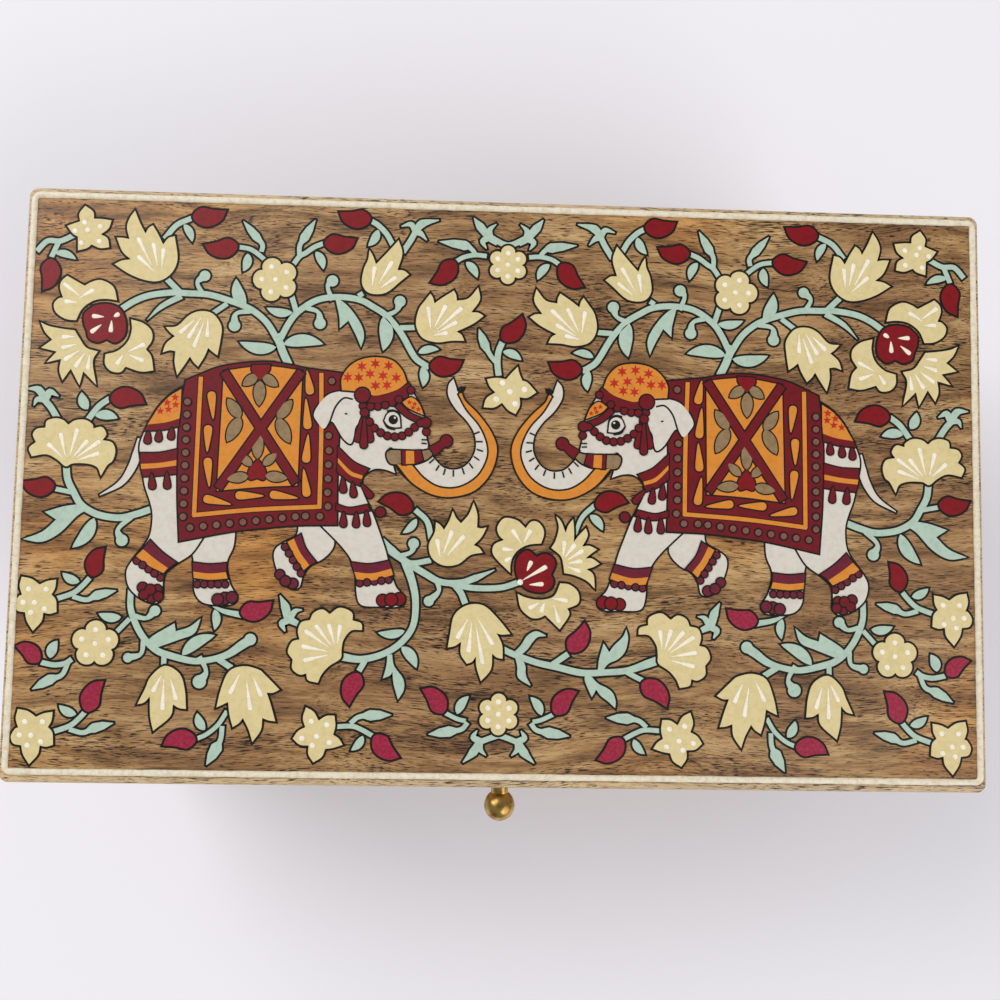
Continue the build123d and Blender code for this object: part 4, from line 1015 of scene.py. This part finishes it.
# Eye, mouth and whisker lines
elephant("white", outline([(-32.2, 17.2, S), (-31.4, 19), (-29.8, 19.5), (-28.4, 18.4), (-28, 15.6, S), (-29.6, 15.5),
                           (-31.2, 16)]), STUD, THIN)
elephant("ink", disc(-29.9, 17.5, 1.25, 14), STUD + 1, 0)
elephant("white", disc(-29.5, 18, 0.3, 8), STUD + 2, 0)
stroke([(-31.6, 19.7), (-30, 20), (-28.4, 19.2), (-27.9, 17)], STUD)
stroke([(-32.4, 17.1), (-31.4, 15.4), (-29.4, 14.9)], STUD)
stroke([(-31.2, 9.2), (-30.4, 10), (-29.6, 9.6)], STUD)
stroke([(-22.4, 12.4), (-21, 12.4)], STUD, 0.35)
stroke([(-22.4, 11.5), (-21, 11.4)], STUD, 0.35)
stroke([(-42.6, 18.8), (-41.9, 18.7)], STUD, THIN)

# Collars and anklets: bands of the colours between one edge and the next
for colours, edges in [
    (["maroon", "orange", "maroon"],
     [[(-44.1, 10), (-40, 6.2), (-36, 4.4)], [(-44, 7.1), (-40.6, 3.8), (-37.4, 2.6)],
      [(-44, 5.9), (-40.9, 2.8), (-37.7, 1.7)], [(-44.1, 3.5), (-41.2, 1.3), (-38, 0)]]),
    (["maroon"], [[(-44, -5), (-40.6, -5.9), (-36, -5)], [(-44, -6.4), (-40, -7.4), (-35.4, -6.4)]]),
    (["orange", "maroon"],
     [[(-92.3, 16.6), (-88.7, 17.4), (-85.1, 19)], [(-93.4, 14.7), (-88.7, 15.4), (-85.3, 16.5)],
      [(-94.1, 13.1), (-89.3, 13.5), (-85.4, 14.5)]]),
    (["maroon", "orange", "maroon"],
     [[(-94.8, 7.2), (-89.9, 7.4), (-85.6, 8.4)], [(-94.7, 4.4), (-90, 4.8), (-85.6, 5.6)],
      [(-94.5, 3.1), (-90, 3.5), (-85.6, 4.2)], [(-94, 1.2), (-90, 1.5), (-85.5, 2.1)]]),
    (["purple", "orange"],
     [[(-91.4, -15.3), (-88.2, -18.3), (-84.6, -20.8)], [(-93.1, -17.6), (-90, -20), (-86.6, -22.3)],
      [(-94.8, -19.4), (-91.4, -21.8), (-87.7, -23.6)]]),
    (["purple", "orange"],
     [[(-39.7, -20), (-35, -20.4), (-30.1, -19.4)], [(-38.9, -22.4), (-34.4, -22.7), (-29.4, -21.4)],
      [(-38.2, -24.3), (-34, -24.5), (-28.9, -23)]]),
    (["purple", "orange"],
     [[(-80.3, -20.8), (-76, -21.2), (-71.8, -20.8)], [(-80.1, -23.1), (-76, -23.5), (-71.8, -23.1)],
      [(-79.9, -24.7), (-76, -25.1), (-71.3, -24.7)]]),
    (["purple", "orange"],
     [[(-53, -13), (-51.6, -16.6), (-48.9, -20)], [(-54.7, -14.1), (-53, -17.6), (-50.5, -20.9)],
      [(-56.3, -15), (-54.3, -18.6), (-51.9, -22.2)]]),
]:
    for colour, upper, lower in zip(colours, edges, edges[1:]):
        elephant(colour, np.vstack([through(upper, 5), through(lower, 5)[::-1]]), TRIM, THIN)

# Rump patch and hanging drops
elephant("orange", outline([(-85.1, 24.2, S), (-88, 22.3), (-90.6, 19.4), (-92.3, 16.6, S), (-88.7, 17.4),
                            (-85.1, 19, S)]), TRIM, THIN)
for x, y in [(-86.6, 22), (-88.6, 20.6), (-86.4, 20.1), (-88.2, 18.8), (-90.3, 18.3)]:
    elephant("red", spark(x, y, 1.1, 5), STUD, 0)
for head, tail in [((-42.4, -0.9), (-42.6, 2)), ((-39.7, -2), (-40, 0.8)), ((-35.6, -2.2), (-37.8, 0.4)),
                   ((-42.1, -9.8), (-42.1, -7)), ((-38.8, -9.8), (-38.8, -7)), ((-36, -9.4), (-36.2, -6.6)),
                   ((-91.5, -1), (-91.8, 2)), ((-87.7, -0.8), (-87.9, 2.4)), ((-93.2, 10.8), (-93.1, 12.9)),
                   ((-90.4, 11.4), (-90.3, 13.2)), ((-87.2, 12), (-87.1, 14))]:
    elephant("maroon", drop(head, tail, 1.05), STUD, FINE)
elephant("maroon", disc(-32.6, -6.8, 1.2), STUD, THIN)

# Beads under the anklets, and toenails
for start, end in [((-94.6, -20.6), (-88.4, -24.8)), ((-37.4, -25.3), (-30, -24.3)),
                   ((-79, -26.3), (-71.9, -26.2)), ((-56.9, -16.3), (-52.6, -23))]:
    for number, (x, y) in enumerate(np.linspace(start, end, 5)):
        elephant("purple", disc(x, y, 0.78, 12), TRIM + number % 2, FINE)
for number, (x, y, radius, colour) in enumerate([
    (-92.8, -27.4, 1.2, "maroon"), (-90.8, -27.9, 1.2, "maroon"), (-89.1, -27.8, 1.1, "maroon"),
    (-92.4, -29.2, 1.1, "maroon"), (-90.4, -29.9, 1.2, "maroon"), (-88.7, -29.6, 1.1, "maroon"),
    (-31.4, -29.6, 1.4, "crimson"), (-29.2, -29.4, 1.5, "crimson"), (-27.1, -29.2, 1.5, "crimson"),
    (-73.6, -30.1, 1.3, "purple"), (-71.8, -29.8, 1.4, "purple"), (-70, -29.5, 1.3, "purple"),
    (-58, -23.4, 1.1, "purple"), (-56.5, -25.1, 1.2, "purple"), (-54.6, -25.7, 1.2, "purple"),
]):
    elephant(colour, disc(x, y, radius, 14), TRIM + number % 2, THIN)

for colour, shapes in coats.items():
    points, faces = prisms(shapes)
    make_piece(f"painted_{colour}", points, faces, PAINT[colour], "lid")
for group, shapes in lines.items():
    points, faces = bands(shapes)
    make_piece(f"ink_lines_{group}", points, faces, PAINT["ink"], "lid")
points, faces = domes(raised)
make_piece("raised_drops", points, faces, PAINT["relief"], "lid", smooth=True)


# Soft linings: padded cards in the room of their CAD slabs


def pad(name, node, material, body, rounding, crown=0.0):
    """A closed crowned card: both faces fall to the rim by a quarter circle over rounding mm, and their grids
    share the rim. The crown adds the product of two half sine waves."""
    low, high = (np.array(corner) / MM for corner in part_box(node))
    size = high - low
    thin = int(np.argmin(size))
    u_axis, v_axis = [a for a in range(3) if a != thin]

    def ticks(length):
        """Places along a side: a quarter circle at each end, even steps of some 2.5 mm between."""
        count = max(4, int((length - 2 * rounding) / 2.5))
        edge = rounding * (1 - np.cos(np.linspace(0, np.pi / 2, 5)))
        middle = np.linspace(rounding, length - rounding, count + 1)[1:-1]
        return np.concatenate([edge, middle, length - edge[::-1]])

    u, v = np.meshgrid(ticks(size[u_axis]), ticks(size[v_axis]), indexing="ij")
    reach = np.minimum(np.minimum(u, size[u_axis] - u), np.minimum(v, size[v_axis] - v))
    fall = np.sqrt(np.clip(1 - (1 - np.clip(reach / rounding, 0, 1)) ** 2, 0, 1))
    swell = crown * np.sin(np.pi * u / size[u_axis]) * np.sin(np.pi * v / size[v_axis])
    half = size[thin] / 2 * fall * (1 - crown) + size[thin] / 2 * fall * swell
    rows, columns = u.shape
    grid = np.zeros((2, rows, columns, 3))
    grid[..., u_axis] = low[u_axis] + u
    grid[..., v_axis] = low[v_axis] + v
    middle = (low[thin] + high[thin]) / 2
    grid[0, ..., thin] = middle + half
    grid[1, ..., thin] = middle - half
    index = np.arange(rows * columns).reshape(rows, columns)
    under = index + rows * columns
    rim = np.zeros_like(index, bool)
    rim[[0, -1], :] = True
    rim[:, [0, -1]] = True
    under = np.where(rim, index, under)

    def quads(n):
        """The quads of a grid of vertex numbers."""
        return np.stack([n[:-1, :-1], n[1:, :-1], n[1:, 1:], n[:-1, 1:]], axis=-1).reshape(-1, 4)

    upright = (u_axis, v_axis, thin) in ((0, 1, 2), (1, 2, 0), (2, 0, 1))
    front, back = quads(index), quads(under)
    faces = np.vstack([front, back[:, ::-1]] if upright else [front[:, ::-1], back])
    piece = make_piece(name, grid.reshape(-1, 3), faces.tolist(), material, body, smooth=True)
    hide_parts(node)
    return piece


for lining in ("floor_lining", "front_wall_lining", "back_wall_lining", "left_wall_lining", "right_wall_lining"):
    pad(f"velvet_{lining}", lining, red_velvet, "box", 0.7, crown=0.2)
pad("velvet_lid_lining", "lid_lining", red_velvet, "lid", 0.7, crown=0.2)
felt = pad("felt_under_base", "base_felt", red_felt, "box", 0.3)

# Cream bead laid by hand round the lid


def hand_laid_bead():
    """A half round section carried along a rounded rectangle; its width and height waver with five sine waves."""
    low, high = (np.array(corner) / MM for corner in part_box("lid_edge_bead"))
    width, tall, corner = 1.7, high[2] - low[2], 1.35
    line = []
    centre_low, centre_high = low[:2] + width / 2, high[:2] - width / 2
    for x, y, start in [(centre_high[0], centre_high[1], 0), (centre_low[0], centre_high[1], 90),
                        (centre_low[0], centre_low[1], 180), (centre_high[0], centre_low[1], 270)]:
        inward = np.array([np.sign(x), np.sign(y)]) * corner
        turn = np.radians(start + np.linspace(0, 90, 9))
        line.append(np.array([x, y]) - inward + corner * np.stack([np.cos(turn), np.sin(turn)], axis=1))
    line = np.vstack(line + [line[0][:1]])
    travel = np.concatenate([[0], np.cumsum(np.linalg.norm(np.diff(line, axis=0), axis=1))])
    even = np.linspace(0, travel[-1], 1200, endpoint=False)
    path = np.stack([np.interp(even, travel, line[:, k]) for k in (0, 1)], axis=1)
    run = np.roll(path, -1, axis=0) - np.roll(path, 1, axis=0)
    run /= np.linalg.norm(run, axis=1, keepdims=True)
    out = np.stack([run[:, 1], -run[:, 0]], axis=1)
    phase = 2 * np.pi * even / travel[-1]
    waver = sum(np.sin(phase * k + k * k) for k in (17, 41, 67, 113, 171)) / 5
    section = np.linspace(0, np.pi, 9)
    side = np.cos(section)[None, :] * (width / 2 * (1 + 0.13 * waver))[:, None]
    lift = np.sin(section)[None, :] * (tall * (0.93 + 0.07 * waver))[:, None]
    points = np.concatenate([path[:, None, :] + out[:, None, :] * side[..., None], low[2] + lift[..., None]], axis=-1)
    count = len(section)
    faces = ring_quads(count, len(even), closed_rings=True)
    piece = make_piece("hand_laid_bead", points.reshape(-1, 3), [f[::-1] for f in faces], cream_line, "lid",
                       smooth=True)
    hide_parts("lid_edge_bead")


hand_laid_bead()


# Floor, lights, world and camera

floor_mesh = bpy.data.meshes.new("pale_floor")
reach = 3.0
corners = [(x * reach, y * reach, 0) for x, y in ((-1, -1), (1, -1), (1, 1), (-1, 1))]
floor_mesh.from_pydata(corners, [], [(0, 1, 2, 3)])
floor = bpy.data.objects.new("pale_floor", floor_mesh)
bpy.context.scene.collection.objects.link(floor)
floor_material, _, floor_shader = new_material("paper_backdrop_pale")
floor_shader.inputs["Base Color"].default_value = linear("#eceaf0")
floor_shader.inputs["Roughness"].default_value = 0.9
floor_mesh.materials.append(floor_material)

world = bpy.data.worlds.new("studio_air")
bpy.context.scene.world = world
world.use_nodes = True
sky = world.node_tree
background = sky.nodes["Background"]
ray = add(sky, "ShaderNodeLightPath")
# the air gives 0.5 to surfaces, 0.28 to their reflections and 0.85 to the camera
soft = add(sky, "ShaderNodeMapRange", {"Value": ray.outputs["Is Glossy Ray"], "To Min": 0.5, "To Max": 0.28})
strength = add(sky, "ShaderNodeMapRange", {
    "Value": ray.outputs["Is Camera Ray"], "To Min": soft.outputs[0], "To Max": 0.85})
background.inputs["Color"].default_value = (1, 1, 1, 1)
sky.links.new(strength.outputs[0], background.inputs["Strength"])


def soft_lamp(name, place, size, power):
    """A square lamp of size m and power W that looks at the middle of the box."""
    light = bpy.data.lights.new(name, "AREA")
    light.size = size
    light.energy = power
    lamp = bpy.data.objects.new(name, light)
    lamp.location = place
    aim = -np.array(place) + np.array([0, 0, 0.06])
    lamp.rotation_euler = Vector(aim).to_track_quat("-Z", "Y").to_euler()
    bpy.context.scene.collection.objects.link(lamp)


soft_lamp("key_lamp", (-0.95, 0.8, 1.0), 1.0, 15)
soft_lamp("fill_lamp", (1.0, -0.9, 0.9), 1.2, 13)

# The view was worked out from the lid's four edges in the 1000 by 1000 picture; its turns are in degrees
camera_data = bpy.data.cameras.new("camera")
camera_data.lens = 32.4
camera_data.sensor_width = 36
camera = bpy.data.objects.new("camera", camera_data)
camera.location = (-8.897 * MM, -18.365 * MM, 323.876 * MM)
camera.rotation_euler = [math.radians(a) for a in (3.715, -1.866, 1.089)]
camera_data.clip_start = 0.01
bpy.context.scene.collection.objects.link(camera)
bpy.context.scene.camera = camera
bpy.context.scene.view_settings.view_transform = "Standard"
